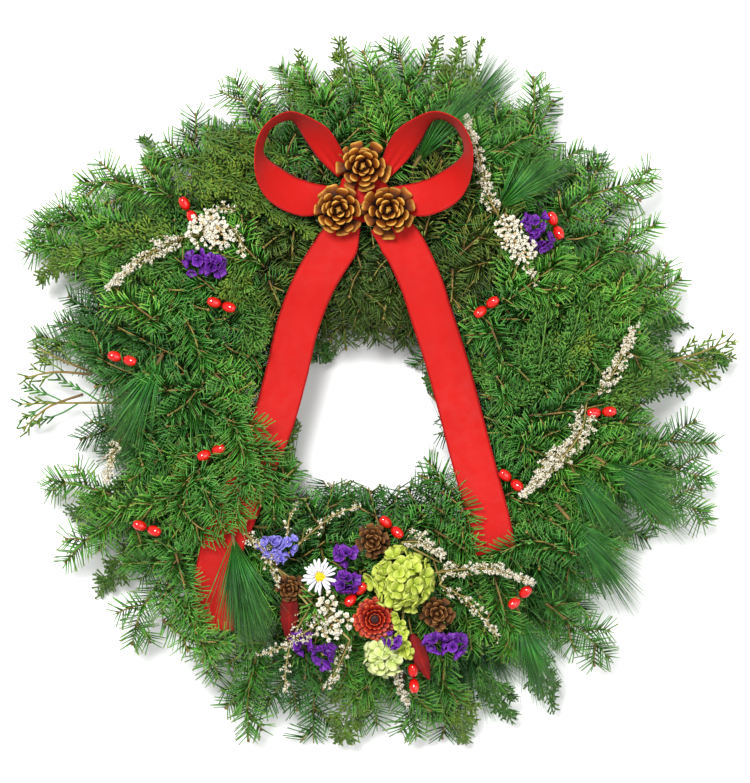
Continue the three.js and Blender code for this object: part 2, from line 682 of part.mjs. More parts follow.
// A flat scale or petal: widest part of the way out, then a point
function petal(root, aim, out, { reach, wide, thick = 0.9, widest = 0.72, blunt = 1 }) {
  const across = UP.clone().cross(out).normalize();
  const facing = aim.clone().cross(across).normalize();
  const shoulder = root.clone().addScaledVector(aim, reach * widest);
  const ring = [[-1, -1], [1, -1], [1, 1], [-1, 1]].map(([a, f]) =>
    shoulder
      .clone()
      .addScaledVector(across, (a * wide) / 2)
      .addScaledVector(facing, (f * thick) / 2),
  );
  return { ring, point: root.clone().addScaledVector(aim, reach * blunt) };
}

const spike = (root, aim, out, { reach }) => ({ point: root.clone().addScaledVector(aim, reach) });

// A floret with four lobes, hollow in its middle
function fourLobes(root, aim, out, { reach, wide }) {
  const across = UP.clone().cross(out).normalize();
  const facing = aim.clone().cross(across).normalize();
  const centre = root.clone().addScaledVector(aim, reach);
  const ring = Array.from({ length: 8 }, (_, k) => {
    const turn = (Math.PI * (k - 3)) / 4;
    const radius = k % 2 ? wide * 0.3 : wide * 0.56;
    return centre
      .clone()
      .addScaledVector(across, radius * Math.cos(turn))
      .addScaledVector(facing, radius * Math.sin(turn));
  });
  return { ring, point: centre.addScaledVector(aim, -reach * 0.35) };
}

// An open pine cone, its tip to the front
function cone({ x, y, radius }, foot, sides, rowCount) {
  const height = radius * 1.7;
  const rows = Array.from({ length: rowCount + 1 }, (_, i) => {
    const share = i / rowCount;
    return {
      radius: radius * (0.42 - 0.26 * share),
      height: height * (0.1 + 0.72 * share),
      reach: i < rowCount ? radius * (0.72 - 0.4 * share * share) : 0,
      lift: 0.05 + 1.1 * share,
      wide: radius * (0.62 - 0.2 * share) * (7 / sides),
      thick: radius * 0.08,
    };
  });
  const head = V(x, y, foot);
  const base = { radius: radius * 0.3, height: 0 };
  const made = rosette(head, [base, ...rows], {
    sides, twist: 0.38, top: height, form: petal,
  });
  const middle = V(x, y, foot + height * 0.45);
  return { parts: [made], rooms: [roomAt(middle, radius * 1.06)], head: V(x, y, foot + 2) };
}

// A berry on its wire, as one skin from the far end of the wire to the berry's end
function berry(places, centre) {
  const fork = places.at(-1);
  const axis = centre.clone().sub(fork).normalize();
  const at = (share) => centre.clone().addScaledVector(axis, share * BERRY.length * 0.5);
  const body = [[-0.98, 0.23], [-0.72, 0.62], [0, 1], [0.72, 0.66]].map(([share, wide]) =>
    ringOf(at(share), axis, squareTo(V(0.2, 0.1, 1), axis), (wide * BERRY.width) / 2, 5),
  );
  const path = [...places, at(-0.98)];
  const stem = places.map((p, i) => {
    const tangent = path[i + 1].clone().sub(path[Math.max(0, i - 1)]).normalize();
    return ringOf(p, tangent, squareTo(V(0.2, 0.1, 1), tangent), 1, 5);
  });
  return skin([...stem, ...body], { end: at(1) });
}

function berryPair({ x, y, turn }) {
  const z = moundHeight(x, y) + 4;
  const fork = V(x, y, z - 9);
  const end = pickEnd(x, y);
  const foot = end.clone().setZ(end.z + 7);
  const [first, second] = [-1, 1].map((hand) =>
    V(x, y, z).addScaledVector(clockDirection(turn), hand * BERRY.length * 0.56),
  );
  const rooms = [first, second].flatMap((centre) => [
    roomAt(centre, BERRY.length * 0.58),
    roomAlong(fork, centre, 2),
  ]);
  const past = end.clone().setZ(end.z - GAP * 0.8);
  const wires = [roomAlong(fork, foot, 2), roomAt(foot, 2), roomAlong(foot, past, 2)];
  return {
    solid: union([berry([end, foot, fork], first), berry([fork.clone().setZ(z - 10)], second)]),
    rooms: [...rooms, ...wires],
  };
}

function daisy() {
  const head = V(-43, -165, 101);
  const rows = [
    { radius: 3, height: -2 },
    { radius: 4.8, height: -0.6, reach: 12.5, lift: 0.1, wide: 3.6, widest: 0.7 },
    { radius: 4.8, height: 1 },
    { radius: 2.6, height: 2.6 },
  ];
  const made = rosette(head, rows, { sides: 15, top: 3, form: petal });
  return onPick([made], [roomAt(head, 12), roomAlong(V(-55, -165, 101), V(-31, -165, 101), 8)],
    head.clone().setZ(99.5));
}

function strawflower() {
  const head = V(6, -203, 92);
  const rows = [
    { radius: 4, height: -4 },
    { radius: 8, height: -1, reach: 11, lift: 0.15, wide: 8, widest: 0.6 },
    { radius: 7.6, height: 2, reach: 8.5, lift: 0.75, wide: 6.4, widest: 0.6 },
    { radius: 6, height: 4.4, reach: 5.6, lift: 1.9, wide: 4.4, widest: 0.6 },
    { radius: 3.6, height: 5.6 },
  ];
  const made = rosette(head, rows, { sides: 8, twist: 0.5, top: 5, form: petal });
  return onPick([made], [roomAt(head, 17), roomAt(V(6, -203, 100), 15)], head.clone().setZ(90));
}

// A hydrangea head: four-lobed florets side by side all over a dome
function hydrangeaHead(x, y, z, width, depth, sides, bands) {
  const head = V(x, y, z);
  const rows = Array.from({ length: bands + 1 }, (_, i) => {
    const up = radians(-12 + (74 * i) / bands);
    const reach = i < bands ? width * 0.15 : 0;
    const radius = width * 0.36 * Math.cos(up);
    return { radius, height: depth * 0.7 * Math.sin(up), reach, lift: Math.tan(up + 0.22),
      wide: ((2 * Math.PI * radius) / sides) * 1.12 };
  });
  const base = { radius: width * 0.2, height: -depth * 0.3 };
  const made = rosette(head, [base, ...rows], {
    sides, twist: 0.5, top: depth * 0.98, form: fourLobes,
  });
  return { parts: [made], rooms: [roomAt(V(x, y, z + depth * 0.2), width * 0.5)], start: head };
}

// A dried leaf, pointed at its end
function leaf(foot, tip, width) {
  const tangent = tip.clone().sub(foot).normalize();
  const across = squareTo(tangent.clone().cross(UP), tangent);
  const facing = across.clone().cross(tangent);
  const rings = [[0, 0.2, 0], [0.3, 0.9, 2], [0.6, 0.85, 2.4]].map(([share, wide, arch]) =>
    [[1, 0], [0, -1], [-1, 0], [0, 1]].map(([a, f]) =>
      foot
        .clone()
        .lerp(tip, share)
        .addScaledVector(across, (a * wide * width) / 2)
        .addScaledVector(facing, arch + f * LEAF_THICKNESS * 0.5),
    ),
  );
  const rooms = [roomAlong(foot, foot.clone().lerp(tip, 0.8), width * 0.5)];
  return { parts: [skin(rings, { end: tip })], rooms, start: foot };
}

// A small cluster of pointed florets on a stem that comes from the fork of its pick
function smallHead(x, y, size, fork, lift = 4) {
  const head = V(x, y, moundHeight(x, y) + lift);
  const rows = [
    { radius: size * 0.26, height: -size * 0.14, reach: size * 0.3, lift: 0.1 },
    { radius: size * 0.24, height: size * 0.12, reach: size * 0.34, lift: 1.1 },
    { radius: size * 0.12, height: size * 0.28 },
  ];
  const foot = fork.clone().sub(head);
  const made = rosette(head, rows, { sides: 6, twist: 0.5, top: size * 0.55, form: spike, foot });
  return { parts: [made], rooms: [roomAt(head, size * 0.66), roomAlong(fork, head, 2)] };
}

// A sprig: a thin stem through some places, its faces grown into buds
function sprig(places, size, seed, step = 9) {
  const draw = drawer(seed);
  const points = places.map(([x, y, lift]) => V(x, y, moundHeight(x, y) + lift));
  const path = new THREE.CatmullRomCurve3(points);
  const count = 2 * Math.round(path.getLength() / (2 * step));
  const frames = Array.from({ length: count + 1 }, (_, i) => {
    const tangent = path.getTangentAt(i / count);
    return { at: path.getPointAt(i / count), tangent, side: squareTo(UP, tangent) };
  });
  const rings = frames.map(({ at, tangent, side }) => ringOf(at, tangent, side, 1.1, 3));
  const grown = (i, k, corners) => {
    if (i < 1 || k !== (2 * i) % 3) return null;
    const root = corners.reduce((sum, p) => sum.add(p), V(0, 0, 0)).multiplyScalar(0.25);
    const centre = path.getPointAt((i + 0.5) / count);
    const { tangent } = frames[i];
    const out = squareTo(root.clone().sub(centre), tangent);
    const across = tangent.clone().cross(out).normalize();
    const wide = (size / 2) * (0.85 + 0.3 * draw());
    const belly = root.clone().addScaledVector(out, size * 0.55);
    const ring = [[-1, -1], [1, -1], [1, 1], [-1, 1]].map(([a, f]) =>
      belly.clone().addScaledVector(across, a * wide).addScaledVector(tangent, f * wide),
    );
    return { ring, point: root.clone().addScaledVector(out, size * 1.05) };
  };
  const end = path.getPointAt(1).addScaledVector(frames.at(-1).tangent, size);
  const rooms = frames.slice(1).map(({ at }, i) => roomAlong(frames[i].at, at, size * 1.25));
  return { parts: [skin(rings, { grown, end })], rooms, start: path.getPointAt(0) };
}

// Several small heads or sprigs wired together on one pick
function bunchOf(pieces, head) {
  const linked = pieces.filter(({ start }) => start);
  const links = linked.map(({ start }) => rod(start, head, 0.9));
  const rooms = linked.map(({ start }) => roomAlong(start, head, 1.8));
  return onPick(
    [...pieces.flatMap((piece) => piece.parts), ...links],
    [...pieces.flatMap((piece) => piece.rooms), ...rooms],
    head,
  );
}

function bowKnot() {
  const ring = (dz, share) =>
    Array.from({ length: 8 }, (_, k) => {
      const turn = (2 * Math.PI * (k + 0.5)) / 8;
      const radius = (KNOT.radius * share) / Math.cos(Math.PI / 8);
      return V(KNOT.x + radius * Math.cos(turn), KNOT.y + radius * Math.sin(turn), KNOT.z + dz);
    });
  const half = KNOT.depth / 2;
  const made = skin([ring(-half, 0.7), ring(-half * 0.4, 1), ring(half * 0.5, 1), ring(half, 0.85)]);
  return onPick([made], [roomAt(V(KNOT.x, KNOT.y, KNOT.z), KNOT.radius + 1)],
    V(KNOT.x, KNOT.y - 6, KNOT.z));
}

// Everything that is set on to the greenery, by node name
function trimmings() {
  const made = new Map();
  const add = (name, colour, item) => made.set(name, { colour, ...item });

  add("bow_loop_left", "ribbon", ribbonStrip(loopStations(-1), 16));
  add("bow_loop_right", "ribbon", ribbonStrip(loopStations(1), 16));
  add("bow_tail_left", "ribbon", ribbonStrip(tailStations(LEFT_TAIL), 12));
  add("bow_tail_right", "ribbon", ribbonStrip(tailStations(RIGHT_TAIL), 10));
  add("bow_knot", "ribbon", bowKnot());

  BOW_CONES.forEach((spec, i) => {
    const { parts, rooms } = cone(spec, KNOT.z + KNOT.depth / 2 + GAP, 7, 4);
    add("pine_cone_" + (i + 1), "cone", { solid: parts[0], rooms });
  });
  POSY_CONES.forEach((spec, i) => {
    const { parts, rooms, head } = cone(spec, moundHeight(spec.x, spec.y) - 6, 5, 3);
    const leaves = spec.leafTip ? [leaf(head, V(...spec.leafTip), 16)] : [];
    const held = [{ parts, rooms }, ...leaves];
    add("posy_cone_" + (i + 1), "darkCone", bunchOf(held, head));
  });
  const redLeaf = leaf(V(39, -217, 84), V(55, -258, 86), 17);
  add("red_leaf", "leafRed", onPick(redLeaf.parts, redLeaf.rooms, redLeaf.start));
  BERRY_PAIRS.forEach((spec, i) =>
    add("berry_pair_" + String(i + 1).padStart(2, "0"), "berry", berryPair(spec)),
  );

  add("daisy", "petalWhite", daisy());
  add("strawflower", "strawflower", strawflower());
  add("hydrangea", "hydrangea", bunchOf(
    [
      hydrangeaHead(34, -164, 94, 56, 30, 7, 3),
      hydrangeaHead(15, -240, 84, 30, 18, 4, 2),
      sprig([[22, -243, 2], [26, -260, 4], [36, -282, 2]], 4.5, 13),
    ],
    V(31, -208, 74),
  ));
  const cluster = (name, colour, [x, y, lift], heads, sprigs = []) => {
    const fork = V(x, y, moundHeight(x, y) + lift);
    const made = heads.map(([hx, hy, size, rise]) => smallHead(hx, hy, size, fork, rise));
    add(name, colour, bunchOf([...made, ...sprigs], fork));
  };
  cluster("statice_violet", "violet", [-79, -140, -10], [[-88, -138, 18, 8], [-69, -136, 18, 8]]);
  cluster("statice_purple_top", "purple", [-20, -157, -8],
    [[-21, -146, 17, 10], [-19, -170, 17, 10]]);
  cluster("statice_purple_low", "purple", [-48, -228, -14],
    [[-58, -224, 17, 4], [-40, -236, 17, 4]]);
  cluster("statice_purple_right", "purple", [70, -222, -14],
    [[61, -225, 17, 4], [79, -226, 17, 4]]);
  cluster("purple_bloom", "purple", [22, -220, 0], [[22, -221, 12, 20]]);
  cluster("cream_florets", "cream", [-31, -202, -10], [[-36, -192, 15, 8], [-24, -212, 15, 8]]);
  cluster("statice_left", "purple", [-146, 115, -12], [[-154, 117, 17, 6], [-137, 114, 17, 6]]);
  cluster("statice_right", "purple", [152, 143, -12], [[149, 151, 16, 6], [156, 135, 15, 6]]);
  cluster("dried_bunch_left", "cream", [-146, 140, -10],
    [[-149, 147, 20, 8], [-131, 139, 20, 8]],
    [sprig([[-162, 140, 2], [-184, 130, 8], [-212, 112, 10], [-233, 94, 8]], 6, 7)]);
  cluster("dried_bunch_right", "cream", [130, 136, -10],
    [[126, 144, 18, 8], [139, 127, 19, 8]],
    [sprig([[118, 156, 2], [108, 174, 8], [103, 206, 10], [100, 246, 10]], 6, 8)]);
  cluster("heather_right", "cream", [74, -158, -8], [], [
    sprig([[70, -140, 8], [92, -150, 12], [116, -157, 12], [140, -166, 8]], 5, 5),
    sprig([[80, -174, 6], [98, -192, 8], [116, -216, 6]], 5, 6),
  ]);
  cluster("posy_sprigs_left", "cream", [-84, -156, -8], [], [
    sprig([[-96, -168, 6], [-100, -188, 8], [-92, -212, 8], [-80, -240, 6]], 4.5, 11, 12),
    sprig([[-60, -140, 8], [-44, -124, 10], [-28, -108, 8]], 4.5, 12, 12),
  ]);
  const upper = sprig([[208, 4, -2], [222, 16, 8], [235, 34, 10], [239, 56, 8]], 6, 10);
  add("dried_sprig_upper", "cream", onPick(upper.parts, upper.rooms, upper.start));
  const lower = sprig([[198, -44, -2], [190, -62, 10], [166, -76, 12], [142, -92, 10]], 6, 9);
  add("dried_sprig_lower", "cream", onPick(lower.parts, lower.rooms, lower.start));
  return made;
}

// Assembly
function meshOf(name, made, colour) {
  const { vertProperties, triVerts } = made.getMesh();
  const geometry = new THREE.BufferGeometry();
  geometry.setAttribute("position", new THREE.BufferAttribute(vertProperties, 3));
  geometry.setIndex(new THREE.BufferAttribute(triVerts, 1));
  geometry.computeVertexNormals();
  const metal = colour === "frame" || colour === "binding";
  const material = new THREE.MeshStandardMaterial({
    color: COLOURS[colour],
    roughness: colour === "berry" ? 0.25 : 0.75,
    metalness: metal ? 0.6 : 0,
  });
  const mesh = new THREE.Mesh(geometry, material);
  mesh.name = name;
  return mesh;
}

const wreath = new THREE.Group();
const decoration = trimmings();
const trimmingRooms = [...decoration.values()].flatMap((item) => item.rooms);
wreath.add(meshOf("ring_frame", ringFrame(), "frame"));
wreath.add(meshOf("binding_wire", bindingWire(), "binding"));
BUNCHES.forEach((bunch, i) => {
  const name = bunch.kind + "_bunch_" + String(i + 1).padStart(2, "0");
  const grown = greenery(bunch, i, trimmingRooms);
  wreath.add(meshOf(name, cutClear(grown, [...decoration.values()]), bunch.kind));
});
for (const [name, item] of decoration) wreath.add(meshOf(name, item.solid, item.colour));

// The origin is under the middle of the whole wreath, on the surface that it lies on
const middle = new THREE.Box3().setFromObject(wreath).getCenter(V(0, 0, 0));
wreath.position.set(-middle.x, -middle.y, 0);
const part = new THREE.Group();
part.add(wreath);

export default part;
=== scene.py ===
"""A fresh evergreen wreath, laid on its back and seen from straight above.

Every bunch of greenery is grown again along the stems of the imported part, with needles at true
fineness. It stays under the part's trimmings, apart from a few sprays that lie over the ribbon.
The trimmings are built finer at the part's own places. Lengths are millimetres until a mesh is
made, and places are measured from the ring's centre.
"""

import math

import bpy
import numpy as np
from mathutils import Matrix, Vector


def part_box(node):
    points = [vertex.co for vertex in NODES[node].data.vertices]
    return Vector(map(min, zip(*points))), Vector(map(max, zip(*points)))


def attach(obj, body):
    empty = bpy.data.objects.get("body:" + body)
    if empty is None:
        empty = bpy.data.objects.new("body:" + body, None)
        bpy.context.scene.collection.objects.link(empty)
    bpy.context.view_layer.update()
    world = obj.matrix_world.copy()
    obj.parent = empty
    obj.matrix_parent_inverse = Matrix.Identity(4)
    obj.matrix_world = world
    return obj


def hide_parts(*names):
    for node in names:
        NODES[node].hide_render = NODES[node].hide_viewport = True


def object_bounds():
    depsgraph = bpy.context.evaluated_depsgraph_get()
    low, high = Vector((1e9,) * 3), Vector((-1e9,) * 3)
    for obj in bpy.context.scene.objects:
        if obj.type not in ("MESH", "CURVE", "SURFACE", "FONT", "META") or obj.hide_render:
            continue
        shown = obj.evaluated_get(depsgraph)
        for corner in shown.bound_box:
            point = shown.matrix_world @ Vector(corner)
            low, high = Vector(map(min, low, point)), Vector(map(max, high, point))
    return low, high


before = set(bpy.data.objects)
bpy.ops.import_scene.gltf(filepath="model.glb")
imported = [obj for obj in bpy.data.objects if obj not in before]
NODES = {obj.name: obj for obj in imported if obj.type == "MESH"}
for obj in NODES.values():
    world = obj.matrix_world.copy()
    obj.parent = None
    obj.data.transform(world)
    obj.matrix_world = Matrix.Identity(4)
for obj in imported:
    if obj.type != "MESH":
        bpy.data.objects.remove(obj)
cad_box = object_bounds()

MM = 0.001
RING_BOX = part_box("ring_frame")
RING = np.array([*((RING_BOX[0] + RING_BOX[1]) / 2 / MM)]) * (1, 1, 0)
LOWEST, HIGHEST = (np.array([*corner]) / MM - RING for corner in cad_box)

# The ring and the mound of greenery, as in the part
RING_RADIUS = 165
BUNDLE_WIDTH, BUNDLE_TOP = 34, 16.2
FIRST_CLOCK = 16
BUNCH_DEGREES = 22.5
MOUND = {"radius": 170, "half_width": 130, "base": 30, "rise": 60}

# The photograph's frame: millimetres a pixel, and what lies at the middle of the frame
MM_PER_PIXEL = 0.9
FRAME_MIDDLE = (6.3, 0.45)
PHOTO_SIZE = (750, 783)
CAMERA_HEIGHT = 3600
FOCUS_HEIGHT = 70

# Vectors
UP = np.array([0.0, 0.0, 1.0])
# Where the first side of a round form is squared from. No axis runs along these.
STEM_SIDE, BEAD_SIDE, PETAL_SIDE = np.array([(0.23, 0.31, 1.0), (0.3, 0.2, 1.0), (0.31, 0.17, 0.05)])
GOLDEN = math.pi * (3 - math.sqrt(5))


def unit(v):
    """Vectors at length one."""
    return v / np.maximum(np.linalg.norm(v, axis=-1, keepdims=True), 1e-9)


def square_to(v, way):
    """The part of a vector that is square to a way, at length one."""
    return unit(v - (v * way).sum(-1, keepdims=True) * way)


def round_about(side, normal, turns):
    """Ways at the given turns about an axis, from two ways that are square to it."""
    return side[..., None, :] * np.cos(turns)[:, None] + normal[..., None, :] * np.sin(turns)[:, None]


def clock_way(degrees):
    """The way outward on the clock face, 0 at the top and 90 at the right."""
    turn = np.radians(np.asarray(degrees, float))
    return np.stack([np.sin(turn), np.cos(turn), np.zeros_like(turn)], -1)


def clock_place(radius, degrees, z):
    """A place on the clock face at a height."""
    return clock_way(degrees) * np.asarray(radius, float)[..., None] + UP * np.asarray(z, float)[..., None]


def clock_of(p):
    """Where on the clock face a place lies, in degrees."""
    return np.degrees(np.arctan2(p[..., 0], p[..., 1])) % 360


def bunch_clock(number):
    """Where on the clock face a bunch is tied."""
    return FIRST_CLOCK + BUNCH_DEGREES * (number - 1)


def mound_height(x, y):
    """How high the greenery stands."""
    off = (np.hypot(x, y) - MOUND["radius"]) / MOUND["half_width"]
    return MOUND["base"] + MOUND["rise"] * np.sqrt(np.maximum(0, 1 - off * off))


def smooth_through(points, count):
    """A smooth curve through places that aren't evenly spaced, as count places."""
    p = np.vstack([2 * points[0] - points[1], points, 2 * points[-1] - points[-2]])
    u = np.linspace(0, len(points) - 1, count)
    i = np.minimum(u.astype(int), len(points) - 2)
    w = (u - i)[:, None]
    a, b, c, d = p[i], p[i + 1], p[i + 2], p[i + 3]
    before, own, after = (
        np.maximum(np.linalg.norm(end - start, axis=1, keepdims=True) ** 0.5, 1e-3)
        for start, end in ((a, b), (b, c), (c, d))
    )
    first = ((b - a) / before - (c - a) / (before + own) + (c - b) / own) * own
    second = ((c - b) / own - (d - b) / (own + after) + (d - c) / after) * own
    bend = w**2 * (3 * (c - b) - 2 * first - second)
    return b + w * first + bend + w**3 * (2 * (b - c) + first + second)


def spaced(points, step=None, count=None):
    """Places at even steps along a polyline, the way it runs there, and its length."""
    along = np.concatenate([[0], np.cumsum(np.linalg.norm(np.diff(points, axis=0), axis=1))])
    count = count or max(3, int(along[-1] / step) + 1)
    at = np.linspace(0, along[-1], count)
    places = np.stack([np.interp(at, along, points[:, k]) for k in range(3)], -1)
    return places, unit(np.gradient(places, axis=0)), along[-1]


def bezier(a, b, c, d, count=24):
    """A curve from a to d that the places b and c pull towards them."""
    t = np.linspace(0, 1, count)[:, None]
    return a * (1 - t) ** 3 + 3 * b * t * (1 - t) ** 2 + 3 * c * t * t * (1 - t) + d * t**3


# Meshes
class Shape:
    """Closed forms gathered into one mesh. tone runs along each form, chance is one draw a form,
    and coat is the number of the material."""

    def __init__(self):
        self.places, self.tones, self.chances = [], [], []
        self.faces, self.coats, self.size = {}, {}, 0

    def add(self, places, faces, tones, chances, coat):
        """Takes in places, and faces as arrays of corners, one array for each size of face."""
        for group in faces:
            corners = group.shape[1]
            self.faces.setdefault(corners, []).append(group + self.size)
            self.coats.setdefault(corners, []).append(np.full(len(group), coat))
        self.places.append(places)
        self.tones.append(tones)
        self.chances.append(chances)
        self.size += len(places)

    def mesh(self, name):
        """The forms as a Blender mesh in metres."""
        mesh = bpy.data.meshes.new(name)
        places = (np.concatenate(self.places) + RING) * MM
        mesh.vertices.add(len(places))
        mesh.vertices.foreach_set("co", places.ravel().astype(np.float32))
        groups = [np.concatenate(group) for group in self.faces.values()]
        sizes = np.concatenate([np.full(len(group), group.shape[1]) for group in groups])
        corners = np.concatenate([group.ravel() for group in groups])
        mesh.loops.add(len(corners))
        mesh.loops.foreach_set("vertex_index", corners.astype(np.int32))
        mesh.polygons.add(len(sizes))
        starts = np.concatenate([[0], np.cumsum(sizes)[:-1]])
        mesh.polygons.foreach_set("loop_start", starts.astype(np.int32))
        coats = np.concatenate([np.concatenate(group) for group in self.coats.values()])
        mesh.polygons.foreach_set("material_index", coats.astype(np.int32))
        mesh.update(calc_edges=True)
        for label, values in (("tone", self.tones), ("chance", self.chances)):
            layer = mesh.attributes.new(label, "FLOAT", "POINT")
            layer.data.foreach_set("value", np.concatenate(values).astype(np.float32))
        mesh.polygons.foreach_set("use_smooth", np.ones(len(sizes), bool))
        return mesh

    def make(self, name, materials, slot, nodes=()):
        """Puts the piece in the scene, in place of the part's nodes."""
        mesh = self.mesh(name)
        for material in materials:
            mesh.materials.append(material)
        piece = bpy.data.objects.new(name, mesh)
        bpy.context.scene.collection.objects.link(piece)
        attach(piece, "root")
        if nodes:
            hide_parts(*nodes)
        return piece


def loft(shape, rings, shares, chances, tips=None, coat=0):
    """Adds one closed skin for each row of rings (forms, rings, sides, 3).

    shares gives the tone of each ring, or of each corner. tips close the last rings in a point.
    """
    forms, count, sides = rings.shape[:3]
    index = np.arange(forms * count * sides).reshape(forms, count, sides)
    after = np.roll(index, -1, axis=2)
    sheets = np.stack([index[:, :-1], after[:, :-1], after[:, 1:], index[:, 1:]], -1)
    faces = [sheets.reshape(-1, 4), index[:, 0, ::-1]]
    places = rings.reshape(-1, 3)
    shares = np.asarray(shares, float)
    if shares.ndim == 1:
        shares = shares[None, :, None]
    tones = np.broadcast_to(shares, (forms, count, sides)).ravel()
    draws = np.repeat(chances, count * sides)
    if tips is None:
        faces.append(index[:, -1])
    else:
        tip = np.broadcast_to((index.size + np.arange(forms))[:, None], (forms, sides))
        faces.append(np.stack([index[:, -1], after[:, -1], tip], -1).reshape(-1, 3))
        places = np.vstack([places, tips])
        tones = np.concatenate([tones, np.ones(forms)])
        draws = np.concatenate([draws, chances])
    shape.add(places, faces, tones, draws, coat)


def tube(shape, path, thick, thin, chance, sides, coat=0):
    """A round stem along a path. thick and thin are its radii at the foot and at the end."""
    ways = unit(np.gradient(path, axis=0))
    side = square_to(STEM_SIDE, ways)
    turns = 2 * np.pi * np.arange(sides) / sides
    radii = np.linspace(thick, thin, len(path))[:, None, None]
    rings = path[:, None] + radii * round_about(side, np.cross(ways, side), turns)
    loft(shape, rings[None], np.linspace(0, 1, len(path)), np.array([chance]), coat=coat)


def cross_ways(ways, ups):
    """The way across each form and the way up from it, both square to its own way."""
    across = unit(np.cross(ways, ups))
    return across, np.cross(across, ways)


def bent(roots, ways, ups, lengths, curl, shares):
    """Places at shares of the length of bent forms. curl is how far a tip bends up, as a share."""
    straight = roots[:, None] + ways[:, None] * (lengths[:, None] * shares)[..., None]
    return straight + ups[:, None] * ((lengths * curl)[:, None] * shares**2)[..., None]


def needles(shape, roots, ways, ups, lengths, widths, chances, curl, blunt=0.5, coat=0):
    """Needles as slim twisted wedges of four faces. curl is how far a tip bends up, as a share of
    its length, and blunt the width of its end, as a share of its own."""
    across, ups = cross_ways(ways, ups)
    half = np.broadcast_to(widths, lengths.shape)[:, None] / 2
    ends = roots + ways * lengths[:, None] + ups * (lengths * curl)[:, None]
    corners = np.stack(
        [
            roots + half * (0.8 * across + 0.5 * ups),
            roots - half * (0.8 * across + 0.5 * ups),
            ends + half * (blunt * across - 0.5 * ups),
            ends - half * (blunt * across - 0.5 * ups),
        ],
        1,
    )
    first = 4 * np.arange(len(roots))[:, None]
    faces = [first + corner for corner in np.array([(0, 1, 2), (0, 3, 1), (0, 2, 3), (1, 3, 2)])]
    tones = np.tile([0.0, 0.0, 1.0, 1.0], len(roots))
    shape.add(corners.reshape(-1, 3), faces, tones, np.repeat(chances, 4), coat)


def long_needles(shape, roots, ways, ups, lengths, widths, chances, curl):
    """Bent three-sided needles, widest halfway, that end in a point."""
    across, ups = cross_ways(ways, ups)
    shares = np.array([0, 0.5])
    centres = bent(roots, ways, ups, lengths, curl, shares)
    half = (widths[:, None] / 2 * np.array([0.6, 1.0]))[..., None]
    corners = [(1, -0.3), (-1, -0.3), (0, 0.6)]
    rings = np.stack([centres + half * (a * across[:, None] + u * ups[:, None]) for a, u in corners], 2)
    tips = roots + ways * lengths[:, None] + ups * (lengths * curl)[:, None]
    loft(shape, rings, shares, chances, tips)


# The section of a blade, as shares of its half width and half thickness
LENS = np.array([(1, 0), (0.5, -1), (-0.5, -1), (-1, 0), (-0.5, 1), (0.5, 1)], float)


def blades(shape, roots, ways, ups, lengths, widths, chances, profile, cup, curl, coat=0):
    """Petals, scales and leaves. profile has rows of a share of the length, a share of the width
    and a thickness. cup lifts the edges and curl the end, as shares of half width and length."""
    across, ups = cross_ways(ways, ups)
    shares, wides, thick = np.array(profile, float).T
    thick = thick[:, None]
    centres = bent(roots, ways, ups, lengths, curl, shares)
    half = (widths[:, None] / 2 * wides)[..., None]
    rings = [
        centres + across[:, None] * a * half + ups[:, None] * (u * thick / 2 + cup * half * a * a)
        for a, u in LENS
    ]
    loft(shape, np.stack(rings, 2), shares, chances, coat=coat)


def beads(shape, centres, axes, lengths, widths, chances, sides, rings, coat=0):
    """Egg-shaped forms: buds, berries and the bumps of a flower's middle."""
    turns = np.radians(np.linspace(-80, 60, rings))
    side = square_to(BEAD_SIDE, axes)
    ring = round_about(side, np.cross(axes, side), 2 * np.pi * np.arange(sides) / sides)
    places = (
        centres[:, None, None]
        + axes[:, None, None] * (lengths[:, None] / 2 * np.sin(turns))[..., None, None]
        + ring[:, None] * (widths[:, None] / 2 * np.cos(turns))[..., None, None]
    )
    tips = centres + axes * lengths[:, None] / 2
    loft(shape, places, (np.sin(turns) + 1) / 2, chances, tips, coat)


def bead(shape, centre, axis, length, width, chance, sides, rings, coat=0):
    """One egg-shaped form."""
    sizes = np.array([[length], [width], [chance]])
    beads(shape, centre[None], axis[None], *sizes, sides, rings, coat)


# Materials
def srgb(values):
    """A linear colour from values as they are seen, 0 to 255."""
    return tuple((v / 255) ** 2.2 for v in values)


def ramp(tree, stops, source):
    """Colours picked by a value. stops has rows of the value and the colour's three shares."""
    node = tree.nodes.new("ShaderNodeValToRGB")
    while len(node.color_ramp.elements) < len(stops):
        node.color_ramp.elements.new(0.5)
    for element, (place, *colour) in zip(node.color_ramp.elements, stops):
        element.position = place
        element.color = (*colour, 1)
    tree.links.new(source, node.inputs[0])
    return node.outputs[0]


def greys(tree, dark, light, source):
    """Greys picked by a noise, most of which lies between 0.3 and 0.7."""
    return ramp(tree, [(0.3, *[dark] * 3), (0.7, *[light] * 3)], source)


def attribute(tree, name):
    """A value that each corner of the mesh holds."""
    node = tree.nodes.new("ShaderNodeAttribute")
    node.attribute_name = name
    return node.outputs["Fac"]


def noise(tree, scale):
    """A soft noise through the piece."""
    place = tree.nodes.new("ShaderNodeTexCoord")
    node = tree.nodes.new("ShaderNodeTexNoise")
    node.inputs["Scale"].default_value = scale
    node.inputs["Detail"].default_value = 3.0
    tree.links.new(place.outputs["Object"], node.inputs["Vector"])
    return node.outputs["Fac"]


def multiplied(tree, first, second):
    """Two colours multiplied."""
    node = tree.nodes.new("ShaderNodeMix")
    node.data_type = "RGBA"
    node.blend_type = "MULTIPLY"
    node.inputs["Factor"].default_value = 1.0
    # A mix of colours has its two inputs at 6 and 7 and its output at 2
    tree.links.new(first, node.inputs[6])
    tree.links.new(second, node.inputs[7])
    return node.outputs[2]


# How deep the relief of a surface goes, in metres
RELIEF = 0.0004


